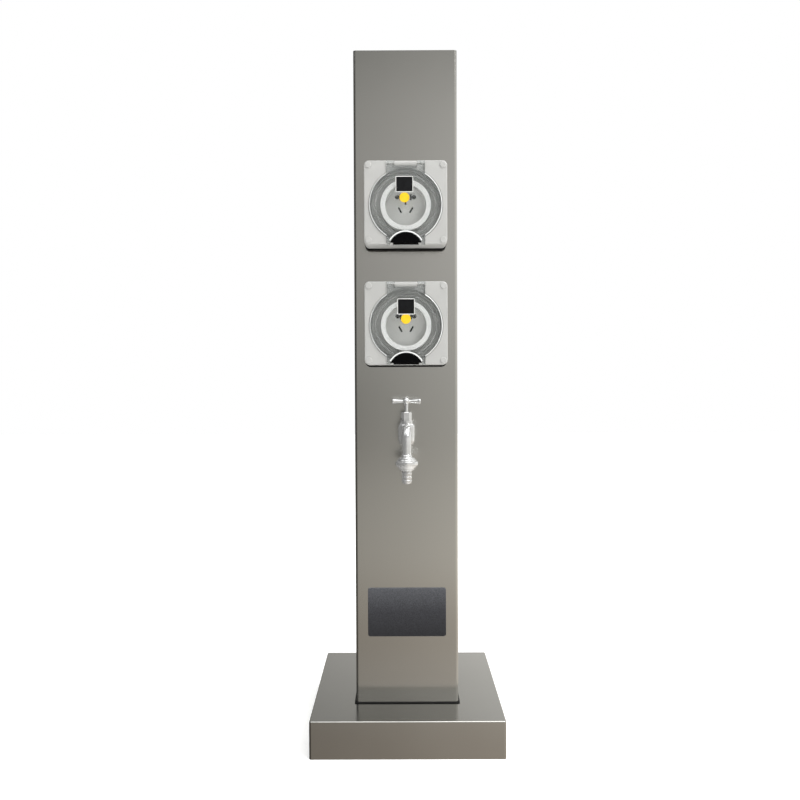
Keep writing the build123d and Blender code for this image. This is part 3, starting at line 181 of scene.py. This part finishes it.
# a dim patch ahead and to the left, which the steel shows beside the tap
shade = studio["shade"]
towards = addNode(tree, "ShaderNodeVectorMath", {"operation": "DISTANCE"}, {0: (look, "Generated")})
towards.inputs[1].default_value = Vector(shade["towards"]).normalized()
patch = addNode(
    tree, "ShaderNodeMapRange",
    {"From Min": shade["near"], "From Max": shade["far"], "To Min": shade["dark"], "To Max": 1.0,
     "interpolation_type": "SMOOTHSTEP"},
    {"Value": (towards, "Value")},
)
tone = multiplied(tree, tone, (patch, "Result"))
# the camera sees plain white behind the post
seen = addNode(tree, "ShaderNodeBackground", {"Color": (1, 1, 1, 1), "Strength": 1.0})
glow = addNode(tree, "ShaderNodeBackground", {"Strength": studio["level"]})
tree.links.new(tone[0].outputs[tone[1]], glow.inputs["Color"])
ray = addNode(tree, "ShaderNodeLightPath")
pick = addNode(tree, "ShaderNodeMixShader")
tree.links.new(ray.outputs["Is Camera Ray"], pick.inputs[0])
tree.links.new(glow.outputs[0], pick.inputs[1])
tree.links.new(seen.outputs[0], pick.inputs[2])
worldOut = addNode(tree, "ShaderNodeOutputWorld")
tree.links.new(pick.outputs[0], worldOut.inputs["Surface"])

lamps = [
    {"name": "keyRight", "place": (1.3, -1.3, 2.3), "aim": (0, 0, 0.5), "size": 0.9, "power": 34.0},
    {"name": "fillLeft", "place": (-1.4, -0.7, 2.2), "aim": (0, 0, 0.5), "size": 1.2, "power": 5.0},
    {"name": "overhead", "place": (0.2, -0.8, 2.4), "aim": (0, 0, 0.4), "size": 1.4, "power": 14.0},
]
for lamp in lamps:
    lampData = bpy.data.lights.new(lamp["name"], "AREA")
    lampData.size = lamp["size"]
    lampData.energy = lamp["power"]
    made = bpy.data.objects.new(lamp["name"], lampData)
    scene.collection.objects.link(made)
    aim = Vector(lamp["aim"]) - Vector(lamp["place"])
    made.matrix_world = Matrix.Translation(lamp["place"]) @ aim.to_track_quat("-Z", "Y").to_matrix().to_4x4()

floorMesh = bpy.data.meshes.new("floor")
shape = bmesh.new()
bmesh.ops.create_grid(shape, x_segments=1, y_segments=1, size=6.0)
shape.to_mesh(floorMesh)
shape.free()
floor = bpy.data.objects.new("floor", floorMesh)
scene.collection.objects.link(floor)
floor.visible_glossy = False
# matt white backdrop paper, bright enough to run into the white behind it
whitePaper, tree, shader, place = newMaterial(
    "whitePaper",
    {"Base Color": linear("#FAFAF9"), "Roughness": 0.9, "Specular IOR Level": 0.0,
     "Emission Color": linear("#FFFFFF"), "Emission Strength": 0.45},
)
floorMesh.materials.append(whitePaper)
print("view and light set")

# AISI 304 sheet, bright satin polish up and down: near-mirror reflections, a little smeared sideways
satinStainless = varied(
    "satinStainless", "#CBCAC6", "#C9C8C4", "#CDCCC8", (0.15, 0.19), 180 * mm,
    {"Metallic": 1.0, "Anisotropic": 0.4}, bump=(150 * mm, 0.05, 1.0 * mm),
)
sheetTree = satinStainless.node_tree
hairline = addNode(sheetTree, "ShaderNodeTangent", {"direction_type": "RADIAL", "axis": "Z"})
sheetTree.links.new(hairline.outputs["Tangent"], sheetTree.nodes["Principled BSDF"].inputs["Tangent"])
# phosphor bronze clips, coloured near black as painted shade for the shade deep in their cup
shadeBlackBronze = varied("shadeBlackBronze", "#2A241C", "#221D17", "#332C22", (0.4, 0.5), 4 * mm, {"Metallic": 1.0})
# hot dip zinc on steel: dull, mottled grey flakes 8 to 15 mm across
zincSteel = varied(
    "zincSteel", "#A9ADB0", "#9A9EA2", "#B9BCBE", (0.42, 0.6), 10 * mm, {"Metallic": 1.0},
    bump=(2 * mm, 0.1, 0.05 * mm),
)
# A2 stainless fasteners, cold formed: bright with fine turning marks
screwSteel = varied(
    "screwSteel", "#CFCFCC", "#C4C4C0", "#D8D8D5", (0.22, 0.34), 3 * mm, {"Metallic": 1.0},
    bump=(0.4 * mm, 0.05, 0.01 * mm),
)
# drawn 304 tube: bright, with die lines along its length
drawnTube = varied(
    "drawnTube", "#CFCFCC", "#C2C2BF", "#D6D6D3", (0.2, 0.3), 1.2 * mm, {"Metallic": 1.0},
    stretch=(1.0, 1.0, 0.03),
)
# EPDM rubber, moulded: matt black with a bloom of grey
epdmRubber = varied(
    "epdmRubber", "#0B0B0B", "#080808", "#111111", (0.6, 0.8), 6 * mm, {"Specular IOR Level": 0.25},
    bump=(0.8 * mm, 0.15, 0.03 * mm),
)
# ABS box, moulded with a spark-eroded grain
greyAbs = varied(
    "greyAbs", "#BEBFBD", "#B9BAB8", "#C4C5C3", (0.42, 0.52), 25 * mm, {"IOR": 1.54},
    bump=(0.9 * mm, 0.12, 0.02 * mm),
)
# UV-stable polycarbonate, moulded in light grey: fine satin skin with a soft sheen
greyPolycarbonate = varied(
    "greyPolycarbonate", "#B2B2B0", "#AFAFAD", "#B6B6B4", (0.36, 0.44), 30 * mm, {"IOR": 1.585},
    bump=(0.7 * mm, 0.08, 0.02 * mm),
)
# the same resin deep in the round well, where the tool isn't polished; its darker colour is painted shade, standing
# for the shade the well's walls cast on it
shadedWellPolycarbonate = varied(
    "shadedWellPolycarbonate", "#A4A5A3", "#9D9E9C", "#ABACAA", (0.45, 0.55), 14 * mm, {"IOR": 1.585},
    bump=(0.9 * mm, 0.1, 0.02 * mm),
)
# urea resin, compression moulded: hard white gloss
whiteUrea = varied(
    "whiteUrea", "#CBCCCA", "#C8C9C7", "#CFD0CE", (0.2, 0.28), 20 * mm, {"IOR": 1.55},
)
# silicone rubber, moulded: milky and soft
whiteSilicone = varied(
    "whiteSilicone", "#F6F7F6", "#F3F4F3", "#F9FAF9", (0.4, 0.5), 8 * mm,
    {"IOR": 1.41, "Subsurface Weight": 0.2},
)
whiteSilicone.node_tree.nodes["Principled BSDF"].inputs["Subsurface Radius"].default_value = (0.002,) * 3
# glass-filled nylon, moulded: black, with a slight orange peel
blackNylon = varied(
    "blackNylon", "#040405", "#030304", "#060607", (0.25, 0.35), 4 * mm, {"IOR": 1.5, "Specular IOR Level": 0.06},
    bump=(1.2 * mm, 0.1, 0.02 * mm),
)
# PVC sheath, extruded: smooth with faint draw marks
blackSheath = varied("blackSheath", "#161616", "#121212", "#1C1C1C", (0.35, 0.5), 5 * mm, {"IOR": 1.53})
greenSheath = varied("greenSheath", "#2F7A33", "#2A712E", "#3A8A3A", (0.35, 0.5), 5 * mm, {"IOR": 1.53})
# tinned copper, pressed
tinnedCopper = varied("tinnedCopper", "#B9B4AB", "#B0AAA0", "#C6C2BA", (0.3, 0.42), 3 * mm, {"Metallic": 1.0})
# CZ122 brass, hot stamped and turned: warm, slightly tarnished
stampedBrass = varied(
    "stampedBrass", "#8A7040", "#7A6136", "#9A7F4C", (0.3, 0.45), 9 * mm, {"Metallic": 1.0},
    bump=(1.5 * mm, 0.08, 0.03 * mm),
)
# chrome plate on cast brass: bright, with a little orange peel from the casting beneath
brightChrome = varied(
    "brightChrome", "#DEDFDF", "#DADBDB", "#E3E3E3", (0.07, 0.13), 6 * mm, {"Metallic": 0.72},
    bump=(2.5 * mm, 0.03, 0.04 * mm),
)
# polished rim of the cover round the catch, coloured near white as a painted highlight where it gathers light
highlightRimWhite = varied("highlightRimWhite", "#ECEEED", "#E8EAE9", "#F0F1F1", (0.2, 0.3), 5 * mm, {"IOR": 1.58})
# vinyl label stock: white face and matt black print
whiteVinyl = varied("whiteVinyl", "#E8E8E6", "#E4E4E2", "#ECECEA", (0.35, 0.45), 5 * mm, {"IOR": 1.5})
blackVinyl = varied(
    "blackVinyl", "#0D0E11", "#0A0B0D", "#121316", (0.4, 0.5), 4 * mm, {"IOR": 1.5, "Specular IOR Level": 0.2}
)
yellowVinyl = varied("yellowVinyl", "#F0C419", "#EBBE14", "#F4CB28", (0.3, 0.4), 4 * mm, {"IOR": 1.5})
# polycarbonate, injection moulded clear: the thin window hardly shows, thick rims look milky, and the eased edges
# carry a painted highlight in near white
clearLooks = {
    "clearPolycarbonate": {"base": "#C8CCCA", "face": 0.05, "edge": 0.6},
    "thickPolycarbonate": {"base": "#C4C7C6", "face": 0.34, "edge": 0.85},
    "highlightPolycarbonate": {"base": "#F4F6F5", "face": 0.75, "edge": 0.95},
}
for name, values in clearLooks.items():
    made, tree, shader, place = newMaterial(
        name, {"Base Color": linear(values["base"]), "Roughness": 0.05, "IOR": 1.585, "Specular IOR Level": 0.7}
    )
    rim = addNode(tree, "ShaderNodeLayerWeight", {"Blend": 0.4})
    cover = addNode(
        tree, "ShaderNodeMapRange", {"To Min": values["face"], "To Max": values["edge"]}, {"Value": (rim, "Facing")}
    )
    tree.links.new(cover.outputs["Result"], shader.inputs["Alpha"])
clearPolycarbonate = bpy.data.materials["clearPolycarbonate"]
thickPolycarbonate = bpy.data.materials["thickPolycarbonate"]
highlightPolycarbonate = bpy.data.materials["highlightPolycarbonate"]

# anodised aluminium, screen printed in slate: sparkle under 1 mm; painted light and shade make it paler towards its
# upper edge and darker towards its lower
slate = {"low": 0.132, "high": 0.194, "stops": [(0.0, "#35363B"), (0.5, "#46474D"), (1.0, "#6A6C72")]}
slateAnodised, tree, shader, place = newMaterial(
    "slateAnodised", {"Base Color": linear("#4A4B50"), "Metallic": 0.3, "Roughness": 0.4}
)
plateAxes = addNode(tree, "ShaderNodeSeparateXYZ", links={"Vector": (place, "Object")})
plateRise = addNode(
    tree, "ShaderNodeMapRange", {"From Min": slate["low"], "From Max": slate["high"]}, {"Value": (plateAxes, "Z")}
)
plateLitToShaded = addRamp(tree, plateRise, "Result", slate["stops"])
sparkle = addGrain(tree, place, 1.1 * mm, detail=2.0, roughness=0.7)
sparkleTone = addRamp(tree, sparkle, "Fac", [(0.35, "#B4B4B6"), (0.65, "#FFFFFF")])
plateMix, plateOutput = multiplied(tree, (plateLitToShaded, "Color"), (sparkleTone, "Color"))
tree.links.new(plateMix.outputs[plateOutput], shader.inputs["Base Color"])
addBump(tree, shader, sparkle, "Fac", 0.05, 0.02 * mm)

finishes = {
    "stainless": satinStainless, "galvanised": zincSteel, "screw_steel": screwSteel, "pipe_steel": drawnTube,
    "black_rubber": epdmRubber, "plate_slate": slateAnodised, "box_grey": greyAbs,
    "housing_grey": greyPolycarbonate, "cap_grey": greyPolycarbonate, "insert_white": whiteUrea,
    "seal_white": whiteSilicone, "clear_lid": clearPolycarbonate, "latch_black": blackNylon,
    "gland_black": blackNylon, "lead_black": blackSheath, "lead_green": greenSheath,
    "tinned_copper": tinnedCopper, "brass": stampedBrass, "chrome": brightChrome,
}
for entry in frame["record"]["subparts"]:
    for socket in nodes[entry["node"]].material_slots:
        # the contact clips take the bronze with painted shade
        socket.material = shadeBlackBronze if "contacts" in entry["node"] else finishes[entry["material_slot"]]
print("finishes on the CAD nodes")


def lathed(shape, outline, centre, axis="Z", steps=64):
    # turns (radius, station) points in millimetres about an axis; a ring's outline is closed by its first point
    lanes = {
        "X": (lambda r, s: (s * mm, centre[1] + r * mm, centre[2]), (1, 0, 0)),
        "Y": (lambda r, s: (centre[0] + r * mm, s * mm, centre[2]), (0, 1, 0)),
        "Z": (lambda r, s: (centre[0] + r * mm, centre[1], s * mm), (0, 0, 1)),
    }
    lay, direction = lanes[axis]
    closed = outline[0] == outline[-1]
    points = [shape.verts.new(lay(r, s)) for r, s in (outline[:-1] if closed else outline)]
    pairs = list(zip(points, points[1:])) + ([(points[-1], points[0])] if closed else [])
    lines = [shape.edges.new(pair) for pair in pairs]
    bmesh.ops.spin(
        shape, geom=points + lines, cent=centre, axis=direction, dvec=(0, 0, 0), angle=2 * math.pi,
        steps=steps, use_merge=True, use_duplicate=False,
    )
    bmesh.ops.remove_doubles(shape, verts=shape.verts, dist=weld)


def addArch(shape, rib, centre, material):
    # rib bent over the top of a circle that faces the front
    rimPoints = [
        (rib["inner"], rib["from"]), (rib["outer"], rib["from"]), (rib["outer"], rib["to"]), (rib["inner"], rib["to"]),
    ]
    rings = []
    for step in range(rib["steps"] + 1):
        turn = Matrix.Rotation(math.radians((2 * step / rib["steps"] - 1) * rib["sweep"]), 4, "Y")
        rings.append([
            shape.verts.new(Vector(centre) + turn @ Vector((0, -front * mm - depth * mm, reach * mm)))
            for reach, depth in rimPoints
        ])
    made = [shape.faces.new(rings[0]), shape.faces.new(rings[-1][::-1])]
    for near, far in zip(rings, rings[1:]):
        for here, after in zip(range(4), (1, 2, 3, 0)):
            made.append(shape.faces.new((near[here], far[here], far[after], near[after])))
    bmesh.ops.recalc_face_normals(shape, faces=made)
    for face in made:
        face.material_index = material


def addBlock(shape, low, high, corner, segments=4):
    # box between two corners in metres, with its four edges along y rounded
    made = bmesh.ops.create_cube(shape, size=1.0)["verts"]
    size = Vector(high) - Vector(low)
    middle = (Vector(high) + Vector(low)) / 2
    bmesh.ops.transform(shape, matrix=Matrix.Translation(middle) @ Matrix.Diagonal((*size, 1.0)), verts=made)
    upright = {e for v in made for e in v.link_edges if abs((e.verts[0].co - e.verts[1].co).y) > size.y / 2}
    bmesh.ops.bevel(
        shape, geom=list(upright), offset=corner, offset_type="OFFSET", affect="EDGES", segments=segments,
        profile=0.5, material=-1,
    )


def fromNode(name, edge, segments=2, sharp=32, flat=0.5):
    # copy of a CAD node with the edges over sharp degrees eased; faces within flat degrees are joined first
    shape = bmesh.new()
    shape.from_mesh(nodes[name].data)
    bmesh.ops.remove_doubles(shape, verts=shape.verts, dist=weld)
    bmesh.ops.dissolve_limit(
        shape, angle_limit=math.radians(flat), verts=shape.verts, edges=shape.edges, use_dissolve_boundaries=False
    )
    hard = [e for e in shape.edges if len(e.link_faces) == 2 and e.calc_face_angle() > math.radians(sharp)]
    bmesh.ops.bevel(
        shape, geom=hard, offset=edge, offset_type="OFFSET", affect="EDGES", segments=segments,
        profile=0.5, material=-1, clamp_overlap=True,
    )
    return shape


def bakeModifiers(made):
    # turns the modifiers' result into the piece's own mesh
    solid = bpy.data.meshes.new_from_object(made.evaluated_get(bpy.context.evaluated_depsgraph_get()))
    solid.name = made.name
    made.modifiers.clear()
    made.data = solid


def finishPiece(name, shape, body, materials, replaced=(), angle=35):
    # closes the mesh, gives it its finish and hangs it on its body
    bmesh.ops.remove_doubles(shape, verts=shape.verts, dist=weld)
    bmesh.ops.recalc_face_normals(shape, faces=shape.faces)
    mesh = bpy.data.meshes.new(name)
    shape.to_mesh(mesh)
    shape.free()
    for material in materials:
        mesh.materials.append(material)
    made = bpy.data.objects.new(name, mesh)
    scene.collection.objects.link(made)
    for face in mesh.polygons:
        face.use_smooth = True
    mesh.set_sharp_from_angle(angle=math.radians(angle))
    even = made.modifiers.new("even", "WEIGHTED_NORMAL")
    even.keep_sharp = True
    bakeModifiers(made)
    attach(made, body)
    if replaced:
        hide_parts(*replaced)
    return made


def castForm(made, voxel, rounds):
    # melts overlapping forms into one casting with soft hollows between them
    melt = made.modifiers.new("melt", "REMESH")
    melt.mode = "VOXEL"
    melt.voxel_size = voxel
    melt.use_smooth_shade = True
    ease = made.modifiers.new("ease", "SMOOTH")
    ease.factor = 0.5
    ease.iterations = rounds
    bakeModifiers(made)
    for face in made.data.polygons:
        face.use_smooth = True


# outlines hold (radius, station) points in millimetres; the valve's and the spout's axes stand at (x, y) in metres
tapBody = {
    "valve": (0.0, -0.103), "spout": (0.0, -0.131), "inletHeight": 0.386, "voxel": 0.4 * mm, "rounds": 6,
    "chamber": [
        (0, 375.8), (3.5, 375.9), (6.4, 377.0), (8.8, 379.6), (10.0, 383.0), (10.25, 386.5), (10.25, 400.0),
        (10.0, 402.2), (9.2, 403.4), (7.8, 404.0), (0, 404.0),
    ],
    "inlet": [
        (0, -41.0), (8.3, -41.0), (8.3, -65.0), (10.4, -65.0), (10.4, -67.4), (9.6, -68.2), (8.4, -69.4),
        (8.2, -80.0), (8.4, -100.0), (0, -100.0),
    ],
    "foot": [
        (0, 355.0), (9.4, 355.0), (9.4, 363.6), (6.4, 364.2), (6.7, 366.2), (6.5, 367.4), (5.6, 368.4),
        (5.3, 370.5), (0, 370.5),
    ],
    "pipe": {"radius": 5.35, "height": 398.2, "bend": 14.0, "end": 369.0, "steps": 40, "bendSteps": 12},
}
shape = bmesh.new()
lathed(shape, tapBody["chamber"], (*tapBody["valve"], 0))
lathed(shape, tapBody["inlet"], (0, 0, tapBody["inletHeight"]), axis="Y")
lathed(shape, tapBody["foot"], (*tapBody["spout"], 0))
pipe = tapBody["pipe"]
level = pipe["height"] * mm
bend = pipe["bend"] * mm
ringVerts = bmesh.ops.create_circle(
    shape, cap_ends=True, radius=pipe["radius"] * mm, segments=pipe["steps"],
    matrix=Matrix.Translation((0, tapBody["valve"][1], level)) @ Matrix.Rotation(math.radians(90), 4, "X"),
)["verts"]
ring = [f for f in ringVerts[0].link_faces if all(v in ringVerts for v in f.verts)]
# the pipe runs forward, bends down through a right angle and ends in the foot
grown = bmesh.ops.extrude_face_region(shape, geom=ring)["geom"]
bmesh.ops.translate(
    shape, vec=(0, tapBody["spout"][1] + bend - tapBody["valve"][1], 0),
    verts=[g for g in grown if isinstance(g, bmesh.types.BMVert)],
)
ring = [g for g in grown if isinstance(g, bmesh.types.BMFace)]
turned = bmesh.ops.spin(
    shape, geom=ring, cent=(0, tapBody["spout"][1] + bend, level - bend), axis=(1, 0, 0), dvec=(0, 0, 0),
    angle=math.radians(90), steps=pipe["bendSteps"], use_merge=False, use_duplicate=False,
)["geom_last"]
ring = [g for g in turned if isinstance(g, bmesh.types.BMFace)]
grown = bmesh.ops.extrude_face_region(shape, geom=ring)["geom"]
bmesh.ops.translate(
    shape, vec=(0, 0, pipe["end"] * mm - level + bend), verts=[g for g in grown if isinstance(g, bmesh.types.BMVert)]
)
tapCasting = finishPiece("tapCasting", shape, "post", [brightChrome], ["tap_body"])
castForm(tapCasting, tapBody["voxel"], tapBody["rounds"])

unionNut = {
    "steps": 96, "sharp": 28,
    "outline": [
        (6.5, 349.8), (7.2, 349.8), (8.0, 350.3), (12.4, 355.4), (13.2, 356.5), (13.5, 357.4), (13.5, 360.0),
        (13.1, 360.8), (12.2, 361.2), (11.6, 361.5), (11.5, 362.6), (11.1, 363.1), (9.9, 363.4), (9.7, 364.6),
        (9.3, 365.0), (7.4, 365.5), (6.9, 366.0), (6.9, 364.4), (9.6, 363.8), (9.6, 355.0), (9.6, 351.6),
        (6.5, 351.2), (6.5, 349.8),
    ],
}
shape = bmesh.new()
lathed(shape, unionNut["outline"], (*tapBody["spout"], 0), steps=unionNut["steps"])
finishPiece("unionNutTurned", shape, "post", [brightChrome], ["union_nut"], angle=unionNut["sharp"])

hoseTail = {
    "steps": 72, "sharp": 50,
    "outline": [
        (4.0, 334.6), (4.9, 334.6), (5.3, 335.0), (6.1, 337.6), (6.25, 338.4), (5.9, 338.9), (5.35, 339.1),
        (6.1, 342.0), (6.25, 342.8), (5.9, 343.3), (5.35, 343.5), (6.1, 346.4), (6.25, 347.2), (5.9, 347.7),
        (5.6, 348.0), (5.8, 349.4), (6.3, 351.4), (9.5, 351.5), (9.5, 353.4), (4.0, 353.5), (4.0, 334.6),
    ],
}
shape = bmesh.new()
lathed(shape, hoseTail["outline"], (*tapBody["spout"], 0), steps=hoseTail["steps"])
finishPiece("hoseTailBarbed", shape, "post", [brightChrome], ["hose_tail"], angle=hoseTail["sharp"])

handle = {
    "arm": [
        (0, -17.25), (2.5, -17.25), (3.1, -16.9), (3.25, -16.2), (3.2, -15.2), (2.9, -13.6), (2.4, -9.0),
        (2.0, -5.4), (1.95, -3.0), (1.95, 3.0), (2.0, 5.4), (2.4, 9.0), (2.9, 13.6), (3.2, 15.2), (3.25, 16.2),
        (3.1, 16.9), (2.5, 17.25), (0, 17.25),
    ],
    "hub": [
        (0, 427.7), (2.5, 427.7), (3.1, 428.3), (4.2, 429.6), (4.4, 431.0), (4.2, 432.4), (3.4, 433.6),
        (2.6, 434.2), (2.4, 435.0), (1.9, 435.4), (0, 435.4),
    ],
    "height": 431.0, "voxel": 0.22 * mm, "rounds": 4,
}
shape = bmesh.new()
lathed(shape, handle["arm"], (0, tapBody["valve"][1], handle["height"] * mm), axis="X")
lathed(shape, handle["hub"], (*tapBody["valve"], 0))
handleBar = finishPiece("handleBar", shape, "tap_key", [brightChrome], ["tap_handle"])
castForm(handleBar, handle["voxel"], handle["rounds"])
print("tap dressed")

# Heights of the sockets' middles in metres. The other lengths are millimetres: depths run forward from the column's
# front, places are (across, up) from the socket's middle, and the round well and lid stand lower by the fall.
sockets = {"upper": 0.672, "lower": 0.526}
eased = {"housing": 0.25, "lid": 0.3, "latch": 0.3}
well = {"radius": 45.6, "floor": 22.0, "lip": 35.0, "fall": 2.8}
window = {"plate": 41.3, "drop": 57.5, "arch": 21.5, "near": 0.4, "skin": 34.9, "edge": (0.15, 0.97)}
lidRib = {"inner": 36.0, "outer": 37.3, "from": 32.6, "to": 35.3, "steps": 96}
label = {
    "size": (21.2, 19.2), "margin": 0.75, "corner": 0.9, "thick": 0.25, "depth": 37.45, "ahead": 0.1,
    "at": {"upper": (-1.5, 21.4), "lower": (0.0, 19.9)},
}
dot = {
    "radius": 6.0, "depth": 37.45, "thick": 0.16, "rim": (0.05, 0.04),
    "at": {"upper": (-1.4, 5.4), "lower": (-0.2, 4.8)},
}
highlightArchRib = {"inner": 21.6, "outer": 23.1, "from": 36.9, "to": 38.4, "sweep": 60.0, "steps": 40}
for name, height in sockets.items():
    housing = fromNode(f"{name}_housing", eased["housing"] * mm)
    housing.normal_update()
    # faces inside the round well take the resin with painted shade
    for made in housing.faces:
        at = made.calc_center_median()
        reach = math.hypot(at.x, at.z - height + well["fall"] * mm)
        depth = -at.y - front * mm
        if reach < well["radius"] * mm and well["floor"] * mm < depth < well["lip"] * mm:
            made.material_index = 1
    finishPiece(
        f"{name}HousingMoulded", housing, "post", [greyPolycarbonate, shadedWellPolycarbonate],
        [f"{name}_housing"],
    )
    lid = fromNode(f"{name}_lid", eased["lid"] * mm)
    ribOutline = [
        (lidRib["inner"], -front - lidRib["from"]), (lidRib["outer"], -front - lidRib["from"]),
        (lidRib["outer"], -front - lidRib["to"]), (lidRib["inner"], -front - lidRib["to"]),
        (lidRib["inner"], -front - lidRib["from"]),
    ]
    middle = height - well["fall"] * mm
    lathed(lid, ribOutline, (0, 0, middle), axis="Y", steps=lidRib["steps"])
    lid.normal_update()
    for made in lid.faces:
        at = made.calc_center_median()
        across, up = at.x / mm, (at.z - middle) / mm
        fromArch = math.hypot(across, (at.z - height) / mm + window["drop"])
        if math.hypot(across, up) > window["plate"] or -at.y / mm - front < window["skin"]:
            made.material_index = 1
        # painted highlight: the eased edges and the ring round the catch's arch take the near-white, nearly opaque
        # clear
        highlightBevel = up < window["plate"] and window["edge"][0] < abs(made.normal.y) < window["edge"][1]
        if highlightBevel or abs(fromArch - window["arch"]) < window["near"]:
            made.material_index = 2
    # a rib over the catch's arch carries the painted highlight in near white
    addArch(lid, highlightArchRib, (0, 0, height - window["drop"] * mm), 3)
    finishPiece(
        f"{name}LidMoulded", lid, f"{name}_cover",
        [clearPolycarbonate, thickPolycarbonate, highlightPolycarbonate, highlightRimWhite], [f"{name}_lid"],
    )
    latch = fromNode(f"{name}_latch", eased["latch"] * mm)
    finishPiece(f"{name}LatchMoulded", latch, f"{name}_catch", [blackNylon], [f"{name}_latch"])
    shape = bmesh.new()
    wide, tall = [half * mm / 2 for half in label["size"]]
    across, up = label["at"][name][0] * mm, height + label["at"][name][1] * mm
    back = -front * mm - label["depth"] * mm
    addBlock(
        shape, (across - wide, back - label["thick"] * mm, up - tall), (across + wide, back, up + tall),
        label["corner"] * mm,
    )
    shape.normal_update()
    ahead = -front * mm - (label["depth"] + label["ahead"]) * mm
    face = [f for f in shape.faces if abs(f.normal.y) > 0.9 and f.calc_center_median().y < ahead]
    bmesh.ops.inset_region(shape, faces=face, thickness=label["margin"] * mm, use_even_offset=True)
    for made in face:
        made.material_index = 1
    finishPiece(f"{name}Label", shape, f"{name}_cover", [whiteVinyl, blackVinyl], angle=1)
    shape = bmesh.new()
    back = -front - dot["depth"]
    top = back - dot["thick"]
    inward, down = dot["rim"]
    discOutline = [
        (0, back), (dot["radius"], back), (dot["radius"], top + down), (dot["radius"] - inward, top), (0, top),
    ]
    across, up = dot["at"][name]
    lathed(shape, discOutline, (across * mm, 0, height + up * mm), axis="Y")
    finishPiece(f"{name}Dot", shape, f"{name}_cover", [yellowVinyl])
print("sockets dressed")
